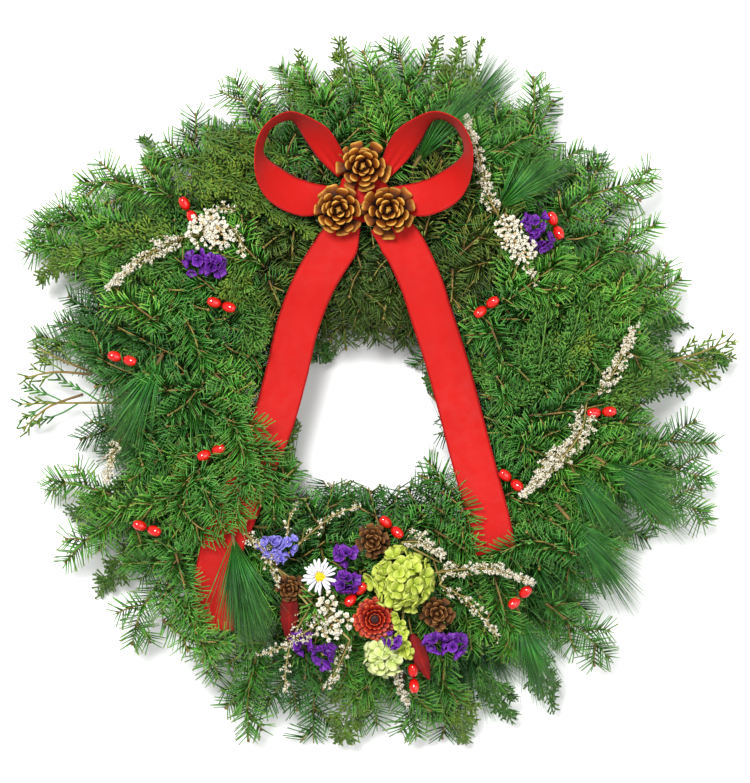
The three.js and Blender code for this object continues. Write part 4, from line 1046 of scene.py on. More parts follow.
# Sprays that stand out in the photograph: kind, length of its side shoots, and its places
FEATURES = [
    ("cedar", 20, (-16, 262, 60), (-20, 296, 48), (-26, 321, 40)),
    ("cedar", 22, (-48, 240, 62), (-58, 268, 50), (-62, 296, 40)),
    ("cedar", 20, (52, 266, 60), (58, 296, 48), (62, 322, 40)),
    ("cedar", 18, (72, 270, 56), (80, 298, 44), (84, 321, 36)),
    ("cedar", 18, (88, 262, 60), (97, 290, 48), (102, 315, 38)),
    ("cedar", 34, (-178, 212, 80), (-122, 186, 90), (-58, 148, 90)),
    ("cedar", 30, (-164, 186, 82), (-132, 190, 88), (-84, 178, 90)),
    ("cedar", 30, (-150, 232, 74), (-120, 220, 82), (-84, 214, 84)),
    ("cedar", 34, (-150, 130, 78), (-210, 132, 72), (-284, 112, 52)),
    ("cedar", 26, (-118, 128, 84), (-120, 104, 86), (-124, 84, 86)),
    ("cedar", 26, (150, 4, 76), (157, 44, 86), (162, 88, 84)),
    ("cedar", 24, (176, 14, 76), (184, 50, 84), (192, 82, 80)),
    ("cedar", 22, (204, 20, 74), (208, 46, 80), (206, 74, 78)),
    ("cedar", 24, (128, -14, 76), (136, 20, 84), (146, 56, 84)),
    ("cedar", 26, (-150, -40, 80), (-156, -70, 84), (-162, -100, 82)),
    ("fir", 42, (44, 232, 74), (35, 280, 66), (23, 322, 52)),
    ("fir", 34, (24, 216, 76), (12, 262, 70), (-4, 306, 60)),
    ("fir", 36, (-30, 226, 76), (-44, 262, 68), (-58, 292, 54)),
    ("fir", 36, (-86, 222, 76), (-106, 250, 66), (-120, 282, 48)),
    ("fir", 34, (146, 182, 72), (150, 232, 62), (150, 284, 44)),
    ("fir", 42, (168, 158, 72), (214, 182, 66), (256, 190, 50)),
    ("fir", 42, (176, 96, 74), (222, 128, 68), (260, 152, 54)),
    ("fir", 40, (196, 62, 74), (234, 88, 66), (264, 116, 50)),
    ("fir", 40, (200, 40, 74), (242, 72, 64), (282, 102, 46)),
    ("fir", 38, (226, -52, 72), (270, -68, 58), (308, -78, 40)),
    ("fir", 38, (222, -78, 72), (268, -98, 58), (306, -108, 38)),
    ("fir", 36, (120, -94, 80), (150, -84, 80), (186, -86, 78)),
    ("fir", 38, (150, -108, 80), (186, -128, 76), (224, -142, 62)),
    ("fir", 38, (-96, -222, 66), (-108, -268, 48), (-109, -316, 30)),
    ("fir", 34, (-120, -206, 66), (-138, -232, 52), (-146, -254, 40)),
    ("fir", 36, (-186, -168, 68), (-206, -200, 50), (-214, -228, 36)),
    ("fir", 36, (-216, -108, 70), (-252, -132, 54), (-274, -154, 36)),
    ("fir", 36, (-232, -92, 66), (-262, -84, 50), (-288, -80, 34)),
    ("fir", 42, (-176, 176, 72), (-222, 188, 60), (-260, 190, 44)),
    ("pale fir", 30, (-222, 150, 68), (-258, 162, 52), (-294, 158, 34)),
    ("pale fir", 24, (-212, 128, 70), (-252, 126, 54), (-292, 128, 36)),
    ("fir", 42, (-206, 144, 72), (-252, 152, 56), (-302, 152, 34)),
    ("fir", 36, (-222, 132, 72), (-262, 126, 56), (-304, 138, 34)),
    ("fir", 34, (54, 240, 72), (64, 250, 74), (80, 262, 68)),
    ("fir", 38, (70, -236, 68), (68, -262, 56), (66, -296, 38)),
    ("fir", 36, (160, -190, 70), (190, -214, 56), (218, -240, 36)),
    ("fir", 34, (30, -262, 62), (38, -286, 50), (44, -312, 30)),
    ("cedar", 26, (100, -248, 56), (116, -270, 44), (126, -290, 30)),
    ("cedar", 26, (-14, -270, 50), (-20, -300, 36), (-24, -322, 22)),
    ("cedar", 24, (76, -268, 50), (84, -296, 36), (88, -314, 22)),
    ("cedar", 26, (150, -240, 50), (160, -260, 40), (167, -278, 28)),
    ("fir", 38, (-100, 40, 70), (-120, -10, 78), (-126, -60, 80)),
    ("fir", 36, (-150, -84, 80), (-158, -130, 82), (-166, -168, 72)),
    ("fir", 34, (-142, 20, 78), (-118, 0, 84), (-80, -10, 80)),
    ("fir", 38, (-20, 120, 76), (-10, 86, 74), (2, 54, 56)),
    ("fir", 36, (10, 120, 78), (26, 92, 72), (30, 60, 54)),
    ("fir", 34, (-40, 128, 78), (-44, 96, 70), (-36, 62, 52)),
    ("fir", 32, (28, 112, 78), (44, 84, 70), (50, 54, 50)),
    ("fir", 30, (0, 110, 74), (4, 76, 64), (10, 42, 44)),
    ("fir", 30, (-18, 108, 70), (-22, 74, 60), (-20, 40, 42)),
    ("fir", 36, (-34, -206, 64), (-22, -240, 58), (-12, -268, 46)),
    ("fir", 36, (12, -214, 62), (4, -250, 56), (0, -284, 42)),
    ("fir", 28, (34, 120, 60), (36, 80, 52), (34, 44, 34)),
    ("fir", 34, (-182, 90, 78), (-158, 56, 84), (-148, 20, 84)),
    ("fir", 34, (-206, 60, 76), (-186, 70, 82), (-152, 84, 84)),
    ("fir", 36, (-224, -20, 72), (-196, -40, 80), (-176, -74, 82)),
    ("fir", 34, (-200, -84, 76), (-180, -114, 80), (-176, -150, 76)),
    ("fir", 36, (120, 96, 80), (142, 104, 84), (176, 112, 80)),
    ("fir", 34, (110, 60, 80), (120, 30, 84), (122, -8, 82)),
    ("fir", 36, (176, -16, 80), (214, -26, 76), (252, -30, 60)),
    ("fir", 36, (92, 214, 78), (118, 216, 78), (150, 208, 72)),
    ("fir", 36, (-110, 200, 78), (-150, 208, 70), (-196, 212, 52)),
    ("pine", 84, (-184, 34, 86), (-190, 22, 88), (-198, 6, 86)),
    ("pine", 70, (178, -62, 86), (188, -76, 86), (200, -90, 82)),
    ("pine", 84, (200, -56, 84), (216, -66, 83), (234, -80, 78)),
    ("pine", 84, (168, -100, 86), (182, -116, 85), (196, -134, 80)),
    ("pine", 76, (132, -190, 76), (138, -206, 72), (144, -224, 64)),
    ("pine", 72, (40, 200, 82), (50, 216, 84), (62, 230, 82)),
    ("pine", 62, (112, 160, 82), (124, 172, 82), (138, 182, 78)),
    ("twig", 20, (250, 24, 50), (296, 34, 46), (326, 46, 36)),
    ("twig", 18, (262, 30, 48), (292, 26, 44), (312, 14, 34)),
    ("twig", 16, (-250, 16, 50), (-284, 18, 46), (-312, 13, 38)),
    ("twig", 16, (-250, 18, 48), (-280, 30, 44), (-300, 40, 36)),
    ("twig", 16, (-258, -2, 50), (-290, -14, 46), (-314, -34, 36)),
]
# Those that lie over the lower half of the left tail and over the end of the right one
OVER_RIBBON = [
    ("fir", 20, (-150, -10, 82), (-122, -26, 92), (-94, -32, 92)),
    ("fir", 22, (-128, -2, 84), (-114, -46, 96), (-104, -88, 98)),
    ("fir", 22, (-112, -24, 86), (-100, -62, 96), (-96, -100, 98)),
    ("fir", 24, (-166, -80, 86), (-138, -92, 98), (-110, -114, 98)),
    ("fir", 22, (-172, -98, 86), (-152, -120, 98), (-132, -128, 98)),
    ("fir", 22, (-96, -44, 84), (-86, -76, 92), (-84, -112, 92)),
    ("fir", 24, (-152, -70, 88), (-142, -96, 98), (-128, -122, 100)),
    ("fir", 22, (-118, -44, 90), (-114, -78, 98), (-118, -116, 100)),
    ("fir", 20, (-172, -144, 92), (-163, -176, 100), (-153, -212, 98)),
    ("fir", 18, (-184, -204, 90), (-160, -220, 98), (-128, -224, 98)),
    ("fir", 18, (-170, -184, 92), (-158, -208, 100), (-142, -236, 92)),
    ("fir", 18, (-180, -168, 92), (-166, -192, 100), (-146, -212, 100)),
    ("fir", 20, (190, -147, 86), (150, -133, 98), (112, -146, 98)),
    ("fir", 16, (62, -104, 86), (82, -118, 96), (94, -134, 96)),
    ("fir", 16, (60, -124, 84), (80, -136, 94), (98, -150, 96)),
    ("fir", 16, (64, -88, 82), (80, -100, 94), (92, -114, 96)),
    ("pine", 92, (-121, -126, 98), (-119, -140, 100), (-115, -158, 98)),
]

# The room they leave below the trimmings: they may rise 60 mm above the ribbon's lowest surface
OVER_SPARE = -60


def lay_sprays():
    """Sprays laid on the mound: one row points inward, two point outward."""
    draw = np.random.default_rng(78)
    fir, cedar = Shape(), Shape()
    for radius, count, reach in ((134, 14, -50), (146, 14, 70), (190, 18, 78)):
        for k in range(count):
            clock = 360 * (k + draw.uniform(0.15, 0.85)) / count
            turn = draw.normal(0, 8)
            points = []
            for share, sink in ((0, 12), (0.5, 0), (1, 5)):
                x, y, _ = clock_place(radius + reach * share, clock + turn * share, 0)
                points.append((x, y, mound_height(x, y) - sink))
            path = inside(smooth_through(np.array(points), 30))
            number = int((clock - FIRST_CLOCK) / BUNCH_DEGREES + 0.5) % 16 + 1
            if BUNCHES[number][0] == "cedar" and draw.random() < CEDAR_TOP_SHARE:
                add_cedar_frond(cedar, draw, path, 30, 0.05, draw.uniform(0.3, 0.7))
            else:
                add_fir_stem(fir, draw, path, 0.05, size=40, hue=draw.choice((0.3, 0.5, 0.7, 0.9)))
    fir.make("fir_laid_on_top", FIR_COATS, "fir")
    cedar.make("cedar_laid_on_top", COATS["cedar"], "cedar")


def grow_features():
    """The sprays that are placed one by one."""
    draw = np.random.default_rng(77)
    shapes = {"fir": Shape(), "cedar": Shape(), "pine": Shape(), "over": Shape(), "pine_over": Shape()}
    for over, table in ((False, FEATURES), (True, OVER_RIBBON)):
        spare = OVER_SPARE if over else 2
        for kind, size, *points in table:
            path = inside(smooth_through(np.array(points, float), 30))
            if kind in ("fir", "pale fir"):
                hue = 0.97 if kind == "pale fir" else np.clip(draw.normal(0.66, 0.15), 0.3, 0.95)
                add_fir_stem(shapes["over" if over else "fir"], draw, path, 0.04, size, spare, hue)
            elif kind == "cedar":
                hue = 0.72 if points[0][0] < 100 else 0.3
                add_cedar_frond(shapes["cedar"], draw, path, size, 0.05, hue)
            elif kind == "pine":
                tuft = shapes["pine_over" if over else "pine"]
                add_pine_tuft(tuft, draw, path, 290 if over else 170, size, spare, 0.5)
            else:
                bark_twig(shapes["cedar"], draw, path, (0.4, 0.58, 0.72, 0.85), size, 1.3)
    shapes["fir"].make("fir_sprays_on_top", FIR_COATS, "fir")
    shapes["cedar"].make("cedar_tips", COATS["cedar"], "cedar")
    shapes["pine"].make("pine_tufts_on_top", [PINE, BARK], "pine")
    shapes["over"].make("fir_over_ribbon", FIR_COATS, "fir")
    shapes["pine_over"].make("pine_over_ribbon", [PINE, BARK], "pine")


# The ring: its rails, and the section and the swell of a flat cross tie along its length
RAILS = (152, 178)
RAIL_WIRE = 1.6
RAIL_HEIGHT = 3.3
TIE_CLOCKS = range(FIRST_CLOCK, 360, 90)
TIE_SECTION = [
    (-1, 0.15), (1, 0.15), (1.05, 0.4), (1.05, 1.6), (1, 1.85), (-1, 1.85), (-1.05, 1.6), (-1.05, 0.4),
]
TIE_HALF_WIDTH = 3.8
TIE_SWELL = [(-15.4, 0.86), (-15.0, 1), (-6, 1), (6, 1), (15.0, 1), (15.4, 0.86)]


def tie_section(clock, along, swell):
    """The corners of a cross tie's section, at a distance along it from the ring's middle line."""
    middle, side = clock_way(clock) * (RING_RADIUS + along), clock_way(clock + 90)
    return [
        middle + side * (across * TIE_HALF_WIDTH) * swell + UP * (1 + (z - 1) * swell)
        for across, z in TIE_SECTION
    ]


def make_rails(draw):
    """The ring's two rails on their ties."""
    shape = Shape()
    turns = np.linspace(0, 360, 145)
    for radius in RAILS:
        places = clock_place(np.full(145, radius), turns, np.full(145, RAIL_HEIGHT))
        tube(shape, places, RAIL_WIRE, RAIL_WIRE, draw.random(), 12)
    for clock in TIE_CLOCKS:
        rings = [tie_section(clock, along, swell) for along, swell in TIE_SWELL]
        loft(shape, np.array(rings)[None], np.linspace(0, 1, 6), draw.random(1))
    shape.make("ring_rails", [ENAMEL], "frame", ["ring_frame"])


def make_wire(draw):
    """The wire that binds the stems to the rails: eight turns, and a run along the ring after each."""
    half, top, radius = BUNDLE_WIDTH / 2 + 1, BUNDLE_TOP + 0.75, 0.5
    # Each place's distance from the ring's middle, its height and its degrees along the ring
    turn = [
        (0, 2.4, -0.5), (half * 0.86, 0.75, -0.3), (half, 10.7, -0.2), (half * 0.6, top, -0.1),
        (-half * 0.6, top, 0.1), (-half, 10.7, 0.2), (-half * 0.86, 0.75, 0.3), (0, 2.4, 0.5),
        (0, 3.4, 11.25), (0, 3.4, 33.75),
    ]
    points = np.array([
        clock_place(RING_RADIUS + off, FIRST_CLOCK + 45 * k + 11.25 + along, z)
        for k in range(8) for off, z, along in turn
    ])
    places, _, _ = spaced(np.vstack([points, points[:1]]), step=2.0)
    wire = Shape()
    tube(wire, places, radius, radius, draw.random(), 6)
    wire.make("wound_wire", [ENAMEL], "binding", ["binding_wire"])


def make_frame():
    """The ring, and the wire that is wound round it."""
    draw = np.random.default_rng(3)
    make_rails(draw)
    make_wire(draw)


# Trimmings
# The numbers of a trimming's second material, which is mostly that of its stem, and of its third
SECOND_COAT, THIRD_COAT = 1, 2


def place(x, y, lift):
    """A place measured from the mound's surface."""
    return np.array([x, y, mound_height(x, y) + lift])


def pick_end(x, y):
    """Where the wire of a trimming ends, on the tied stems of the nearest bunch."""
    clocks = bunch_clock(np.arange(1, 17))
    off = (clock_of(np.array([x, y, 0.0])) - clocks + 540) % 360 - 180
    near = np.argmin(np.abs(off))
    out = np.clip((math.hypot(x, y) - RING_RADIUS) * 0.12, -7, 7)
    return clock_place(RING_RADIUS + 1.2 + out, clocks[near] + np.clip(off[near], -9, 9), BUNDLE_TOP + 0.3)


def add_wire(shape, points, radius, coat):
    """A wire or stem of even thickness through some places."""
    places, _, _ = spaced(smooth_through(np.array(points), 30), step=4)
    tube(shape, places, radius, radius, 0.5, 6, coat)


def add_pick(shape, head, coat):
    """The wire from a trimming down to the tied stems."""
    end = pick_end(head[0], head[1])
    add_wire(shape, [head, end + 7 * UP, end], 0.8, coat)


def petal_ring(shape, draw, centre, axis, count, root, length, width, lift, profile, cup, curl,
               turn, chance=None, coat=0):
    """Petals all round an axis, rising from it by lift (the tangent of their slope)."""
    side = square_to(PETAL_SIDE, axis)
    turns = turn + 2 * np.pi * (np.arange(count) + 0.12 * draw.normal(size=count)) / count
    out = round_about(side, np.cross(axis, side), turns)
    rise = lift + 0.12 * draw.normal(size=count)
    ways = unit(out + axis * rise[:, None])
    if chance is None:
        chances = draw.random(count)
    else:
        chances = np.clip(chance + 0.12 * draw.normal(size=count), 0, 1)
    lengths = length * draw.uniform(0.86, 1.06, count)
    widths = width * draw.uniform(0.9, 1.08, count)
    ups = square_to(axis, ways)
    blades(shape, centre + out * root, ways, ups, lengths, widths, chances, profile, cup, curl, coat)


# Ribbon
RIBBON_WIDTH, RIBBON_THICKNESS, NECK_WIDTH = 38, 0.8, 17
KNOT = {"middle": np.array([-4.0, 176.0, 90.0]), "radius": 24}
# The right loop, from the knot and back: a place from the knot's middle, the way across it and the
# width. The left one mirrors it.
LOOP = [
    ((25, -1, 1), (0, -1, 0.05), NECK_WIDTH),
    ((54, -3, 8), (0.1, -0.9, 0.35), RIBBON_WIDTH * 0.92),
    ((78, 9, 15), (0.5, -0.6, 0.65), RIBBON_WIDTH),
    ((93, 37, 19), (0.2, -0.05, 0.98), RIBBON_WIDTH),
    ((84, 61, 19), (0.08, 0.06, 0.99), RIBBON_WIDTH),
    ((64, 70, 18), (0, 0.13, 0.99), RIBBON_WIDTH),
    ((44, 56, 14), (-0.35, 0.35, 0.87), RIBBON_WIDTH),
    ((31, 38, 7), (-0.55, 0.4, 0.6), RIBBON_WIDTH * 0.75),
    ((18.8, 18.8, 0), (-0.6, 0.6, 0.4), NECK_WIDTH * 0.7),
]
# The tails: a place, and the turn of the way across in degrees
LEFT_TAIL = [
    (-13.5, 151.3, 90, -32),
    (-28, 131, 88, -34),
    (-48, 98, 84, -24),
    (-63, 60, 76, -15),
    (-73, 18, 70, -12),
    (-84, -22, 70, -22),
    (-98, -58, 76, -22),
    (-114, -98, 84, -20),
    (-131, -141, 86, -14),
    (-138, -180, 84, -6),
    (-139, -214, 80, -2),
]
RIGHT_TAIL = [
    (7.2, 150.4, 90, 30),
    (27, 137, 88, 38),
    (45, 104, 84, 24),
    (58, 66, 76, 16),
    (71, 26, 70, 16),
    (82, -14, 70, 15),
    (91, -50, 80, 14),
    (100, -84, 90, 13),
    (108, -115, 92, 13),
    (114, -143, 90, 13),
]

RIBBON = surface(
    "red_velvet_ribbon",
    [(0, 186, 21, 13), (0.9, 182, 19, 11), (0.95, 142, 8, 8), (1, 168, 14, 11)],
    [(0, 0.94, 0.94, 0.94), (1, 1, 1, 1)],
    (0.62, 0.78),
    (35, 0.93),
    (2600, 0.35),
    {"Sheen Weight": 0.04, "Sheen Roughness": 0.5, "Specular IOR Level": 0.22},
)


def ribbon_strip(name, node, places, widths, sizes, steps, seed, wave=0.5):
    """A strip of ribbon with soft ripples and slightly cupped edges, and its selvedges.

    Returns the piece and the length of the curve that it follows.
    """
    draw = np.random.default_rng(seed)
    centre = smooth_through(np.array(places, float), steps)
    tangent = unit(np.gradient(centre, axis=0))
    across = square_to(smooth_through(np.array(widths, float), steps), tangent)
    facing = np.cross(tangent, across)
    half = smooth_through(np.array([[w, 0, 0] for w in sizes], float), steps)[:, 0] / 2
    along = np.linspace(0, 1, steps)
    columns = np.linspace(1, -1, 13)
    phase = draw.uniform(0, 6, 3)
    waves = zip((2.3, 4.1, 6.7), phase)
    ripple = sum(np.sin(2 * np.pi * f * along[:, None] + p + 1.1 * columns) for f, p in waves) / 3
    # Narrow stretches are gathered in folds
    gathers = np.cos(3.2 * np.pi * columns + phase[0]) * np.maximum(0, 1 - 2 * half / 34)[:, None] * 2.2
    lift = wave * ripple * np.sin(np.pi * along)[:, None] + gathers + 0.5 * columns**2 - 0.25
    body = centre[:, None] + across[:, None] * (half[:, None] * columns)[..., None]
    body = body + facing[:, None] * lift[..., None]
    shape = Shape()
    add_sheet(shape, body, facing[:, None] * RIBBON_THICKNESS / 2, np.abs(columns), draw.random())
    piece = shape.make(name, [RIBBON], "ribbon", [node])
    return piece, np.linalg.norm(np.diff(centre, axis=0), axis=1).sum()


def add_sheet(shape, body, skin, tones, chance, coat=0):
    """A closed sheet round the places body (rows, columns, 3), with a skin to both sides of it.
    tones has the tone of each column."""
    rings = np.concatenate([body + skin, (body - skin)[:, ::-1]], 1)
    tones = np.broadcast_to(np.concatenate([tones, tones[::-1]]), rings.shape[:2])
    loft(shape, rings[None], tones[None], np.array([chance]), None, coat)


def make_loops():
    """The bow's two loops, each folded back to the knot."""
    for hand, side in ((-1, "left"), (1, "right")):
        turned = np.array([hand, 1, 1])
        places = [KNOT["middle"] + np.array(at) * turned for at, _, _ in LOOP]
        widths = [np.array(across) * turned for _, across, _ in LOOP]
        sizes = [size for _, _, size in LOOP]
        name, node = f"ribbon_loop_{side}", f"bow_loop_{side}"
        loop, length = ribbon_strip(name, node, places, widths, sizes, 90, 30 + hand)


def make_tails():
    """The ribbon's two tails, laid down over the greenery."""
    for table, side in ((LEFT_TAIL, "left"), (RIGHT_TAIL, "right")):
        turns = np.radians([row[3] for row in table])
        widths = np.stack([np.cos(turns), np.sin(turns), 0 * turns], -1)
        sizes = [NECK_WIDTH] + [RIBBON_WIDTH] * (len(table) - 1)
        places = [row[:3] for row in table]
        name, node = f"ribbon_tail_{side}", f"bow_tail_{side}"
        tail, length = ribbon_strip(name, node, places, widths, sizes, 120, len(side), 0.9)


# The knot from its back to its front: a height, a share of its radius and the depth of its pleats
KNOT_RINGS = [
    (-6, 0.55, 0), (-5.4, 0.86, 0.05), (-3, 0.97, 0.05), (0.5, 0.98, 0.05), (3, 0.95, 0.06),
    (5.2, 0.82, 0.07), (6, 0.55, 0.06), (5.6, 0.3, 0.03),
]


def make_knot():
    """The flat pleated knot behind the cones, on its own pick."""
    shape = Shape()
    turns = 2 * np.pi * np.arange(120) / 120
    rings = []
    for z, share, pleat in KNOT_RINGS:
        pleats = pleat * (np.abs(np.sin(5.5 * turns + 0.7)) - 0.5)
        radius = KNOT["radius"] * (share + pleats + 0.01 * np.sin(23 * turns))
        rings.append(np.stack([radius * np.cos(turns), radius * np.sin(turns), np.full(120, float(z))], -1))
    loft(shape, (np.array(rings) + KNOT["middle"])[None], np.full(8, 0.3), np.array([0.4]))
    add_pick(shape, KNOT["middle"] - (0, 6, 3), SECOND_COAT)
    shape.make("ribbon_knot", [RIBBON, ENAMEL], "ribbon", ["bow_knot"])


# Leaves
LEAF_RED = surface(
    "dark_red_leaf",
    [(0, 104, 12, 10), (0.46, 132, 16, 12), (0.5, 160, 30, 20), (0.54, 132, 16, 12),
     (1, 98, 12, 10)],
    PLAIN_DRAWS, (0.65, 0.85), (70, 0.6), (500, 0.6), {"Specular IOR Level": 0.2},
)


def add_leaf(shape, foot, tip, width, coat=0):
    """A dried leaf: a blade in two halves that rise from its midrib, with a scalloped edge."""
    way = unit(tip - foot)
    across = square_to(np.cross(way, UP), way)
    up = np.cross(across, way)
    length = np.linalg.norm(tip - foot)
    shares = np.linspace(0, 0.995, 22)
    outline = np.sin(np.pi * np.clip(shares, 0.02, 1) ** 0.8) ** 0.75
    half = width / 2 * outline * (1 + 0.07 * np.sin(46 * shares)) + 0.3
    columns = np.linspace(1, -1, 9)
    veins = 0.35 * np.abs(np.sin(24 * shares[:, None] - 5 * np.abs(columns)))
    lift = 2.2 * np.sin(np.pi * shares)[:, None] + 0.16 * half[:, None] * np.abs(columns) + veins
    midrib = (foot + way * (length * shares)[:, None])[:, None]
    body = midrib + across * (half[:, None] * columns)[..., None] + up * lift[..., None]
    add_sheet(shape, body, 0.35 * up, (1 - columns) / 2, 0.7, coat)


def cone_material(name, stops):
    """Dull woody scales. stops run from a scale's foot, near black as painted shade deep between the
    scales, to its own paler rim.
    """
    draws = [(0, 0.7, 0.62, 0.54), (1, 1, 1, 1)]
    return surface(name, stops, draws, (0.5, 0.7), (220, 0.6), (900, 0.6), {"Specular IOR Level": 0.18})


# Both kinds of cone are painted near black at the foot of each scale: painted shade between the scales
CONE = cone_material(
    "pine_cone_scales",
    [(0, 14, 5, 1), (0.5, 40, 16, 3), (0.72, 108, 52, 7), (0.88, 158, 90, 16),
     (1, 232, 180, 84)],
)
DARK_CONE = cone_material(
    "small_cone_scales",
    [(0, 24, 12, 6), (0.6, 78, 46, 22), (0.92, 126, 84, 44), (1, 158, 116, 70)],
)

# A scale of a cone 21 mm in radius, as a profile for blades
SCALE = [(0, 0.34, 1), (0.4, 0.46, 1), (0.64, 0.8, 1.1), (0.84, 1, 1.4), (0.95, 0.88, 1.6), (1, 0.55, 1.1)]
SCALE_RADIUS = 21


def add_cone(shape, draw, x, y, foot, radius, count):
    """An open cone, its tip to the front: scales wound in a spiral round a dark core."""
    height = radius * 1.44
    k = np.arange(count)
    share = (k + 0.5) / count
    turns = k * GOLDEN + draw.normal(0, 0.13, count)
    out = np.stack([np.cos(turns), np.sin(turns), 0 * turns], -1)
    middle = np.array([x, y, foot])
    roots = middle + out * (radius * (0.26 - 0.2 * share))[:, None]
    roots = roots + UP * (height * (0.06 + 0.66 * share))[:, None]
    ways = unit(out + UP * (-0.06 + 1.3 * share**1.4 + draw.normal(0, 0.15, count))[:, None])
    lengths = radius * (0.84 - 0.42 * share**1.5) * draw.uniform(0.82, 1.06, count)
    widths = radius * (0.5 - 0.18 * share) * draw.uniform(0.85, 1.15, count)
    profile = [(along, wide, thick * radius / SCALE_RADIUS) for along, wide, thick in SCALE]
    ups = square_to(UP, ways)
    blades(shape, roots, ways, ups, lengths, widths, draw.random(count), profile, 0.65, 0.04)
    # The core takes the darkest draw and the dark foot of the ramp: painted shade in the cone's open middle
    bead(shape, middle + UP * height * 0.4, UP, height * 0.72, radius * 0.5, 0, 12, 7)


# The cones: a place and a radius each. Those of the bow share a height.
BOW_CONES, BOW_CONE_HEIGHT = [(-4.5, 200, 23.5), (-26, 161, 23.5), (18, 161, 24)], 96.3
POSY_CONES = [(4, -133, 15.5), (62, -198, 16), (-70, -176, 13.5)]


def make_cones():
    """Three open cones on the bow, and three small ones in the posy, the last with a leaf."""
    for i, (x, y, radius) in enumerate(BOW_CONES, 1):
        shape = Shape()
        add_cone(shape, np.random.default_rng(40 + i), x, y, BOW_CONE_HEIGHT, radius, 32)
        shape.make(f"open_cone_{i}", [CONE], "cone", [f"pine_cone_{i}"])
    for i, (x, y, radius) in enumerate(POSY_CONES, 1):
        shape = Shape()
        foot = place(x, y, -6)
        add_cone(shape, np.random.default_rng(50 + i), *foot, radius, 30)
        add_pick(shape, foot + 2 * UP, SECOND_COAT)
        if i == 3:
            add_leaf(shape, foot + 2 * UP, np.array([-71.0, -224, 84]), 16, THIRD_COAT)
        shape.make(f"small_cone_{i}", [DARK_CONE, ENAMEL, LEAF_RED], "cone_dark", [f"posy_cone_{i}"])


# Berries
BERRY = surface(
    "red_berries",
    [(0, 150, 12, 10), (0.3, 214, 18, 16), (1, 224, 26, 20)],
    [(0, 0.88, 0.88, 0.88), (1, 1, 1, 1)], (0.08, 0.16), (80, 0.88), (300, 0.05),
    {"Coat Weight": 0.6, "Coat Roughness": 0.06},
)
BERRY_END = surface("berry_ends", [(0, 50, 26, 14), (1, 24, 12, 8)], PLAIN_DRAWS, (0.5, 0.7))

# The pairs of berries: a place and the clock way from one berry to the other
BERRIES = [
    (-161, 163, 150), (-131, 78, 108), (-220, 30, 106), (-140, -54, 68), (-198, -122, 110), (168, 149, 156),
    (106, 76, 232), (209, -18, 86), (128, -79, 130), (136, -184, 226), (21, -121, 132), (-11, -181, 222),
    (41, -257, 176),
]


def make_berries():
    """Each pair: a forked wire with a berry on either prong, dark where its flower was."""
    for i, (x, y, turn) in enumerate(BERRIES, 1):
        draw = np.random.default_rng(60 + i)
        shape = Shape()
        middle = place(x, y, 4)
        fork = middle - 9 * UP
        add_pick(shape, fork, SECOND_COAT)
        for hand in (-1, 1):
            way = clock_way(turn) * hand
            centre = middle + way * 12.5 * 0.56
            axis = unit(way + UP * 0.42)
            bead(shape, centre, axis, 14.2, 9.4, draw.random(), 20, 12)
            bead(shape, centre + axis * 6.9, axis, 1.6, 2.6, draw.random(), 8, 4, THIRD_COAT)
            add_wire(shape, [fork - 2 * UP, fork, centre - axis * 6.6], 0.8, SECOND_COAT)
        shape.make(f"berries_{i:02d}", [BERRY, ENAMEL, BERRY_END], "berry", [f"berry_pair_{i:02d}"])


# Blooms
BLOOM_MOTTLE, BLOOM_RELIEF = (160, 0.85), (700, 0.4)


def bloom_material(name, stops, roughness=(0.5, 0.7)):
    """Petals or dried stems. stops run from a petal's foot to its end."""
    draws = [(0, 0.78, 0.78, 0.8), (1, 1, 1, 1)]
    return surface(name, stops, draws, roughness, BLOOM_MOTTLE, BLOOM_RELIEF)


WHITE = bloom_material("daisy_petals", [(0, 214, 206, 224), (0.3, 240, 236, 244), (1, 250, 248, 252)])
YELLOW = bloom_material("daisy_disc", [(0, 226, 180, 0), (1, 255, 232, 10)])
FLAME = bloom_material(
    "strawflower_bracts", [(0, 56, 4, 2), (0.5, 112, 10, 3), (0.82, 168, 34, 6), (1, 206, 82, 18)],
    (0.4, 0.55),
)
MAROON = bloom_material("strawflower_middle", [(0, 26, 4, 3), (1, 64, 14, 9)])
LIME = bloom_material("hydrangea_petals", [(0, 126, 154, 26), (0.5, 178, 196, 58), (1, 214, 224, 106)])
PALE_LIME = bloom_material("pale_hydrangea", [(0, 164, 188, 80), (0.5, 200, 214, 122), (1, 228, 236, 172)])
PURPLE = bloom_material("purple_statice", [(0, 48, 8, 82), (0.5, 86, 18, 136), (1, 122, 44, 170)])
VIOLET = bloom_material("lavender_statice", [(0, 92, 78, 176), (0.6, 118, 108, 208), (1, 150, 144, 226)])
CREAM = surface(
    "cream_florets", [(0, 186, 168, 118), (0.4, 216, 206, 176), (1, 238, 236, 224)],
    [(0, 0.66, 0.56, 0.36), (0.2, 0.9, 0.87, 0.78), (0.45, 1, 1, 1), (1, 1, 1, 1)], (0.5, 0.7),
    BLOOM_MOTTLE, BLOOM_RELIEF,
)
STRAW = bloom_material("dried_stems", [(0, 136, 116, 58), (1, 176, 160, 92)], (0.6, 0.8))
TAN = bloom_material("dried_husks", [(0, 150, 112, 56), (1, 214, 184, 124)], (0.6, 0.8))

# Profiles for blades
ROUND_PETAL = [(0, 0.3, 0.5), (0.3, 0.8, 0.45), (0.6, 1.0, 0.4), (0.85, 0.82, 0.35), (1.0, 0.4, 0.3)]
FRILL = [(0, 0.25, 0.5), (0.3, 0.55, 0.45), (0.6, 0.85, 0.4), (0.88, 1.0, 0.35), (1.0, 0.8, 0.3)]
LONG_PETAL = [(0, 0.5, 0.7), (0.3, 0.85, 0.6), (0.65, 1.0, 0.55), (0.9, 0.75, 0.45), (1.0, 0.35, 0.35)]
BRACT = [(0, 0.7, 0.8), (0.35, 0.95, 0.8), (0.65, 1.0, 0.7), (0.9, 0.8, 0.6), (1.0, 0.36, 0.4)]


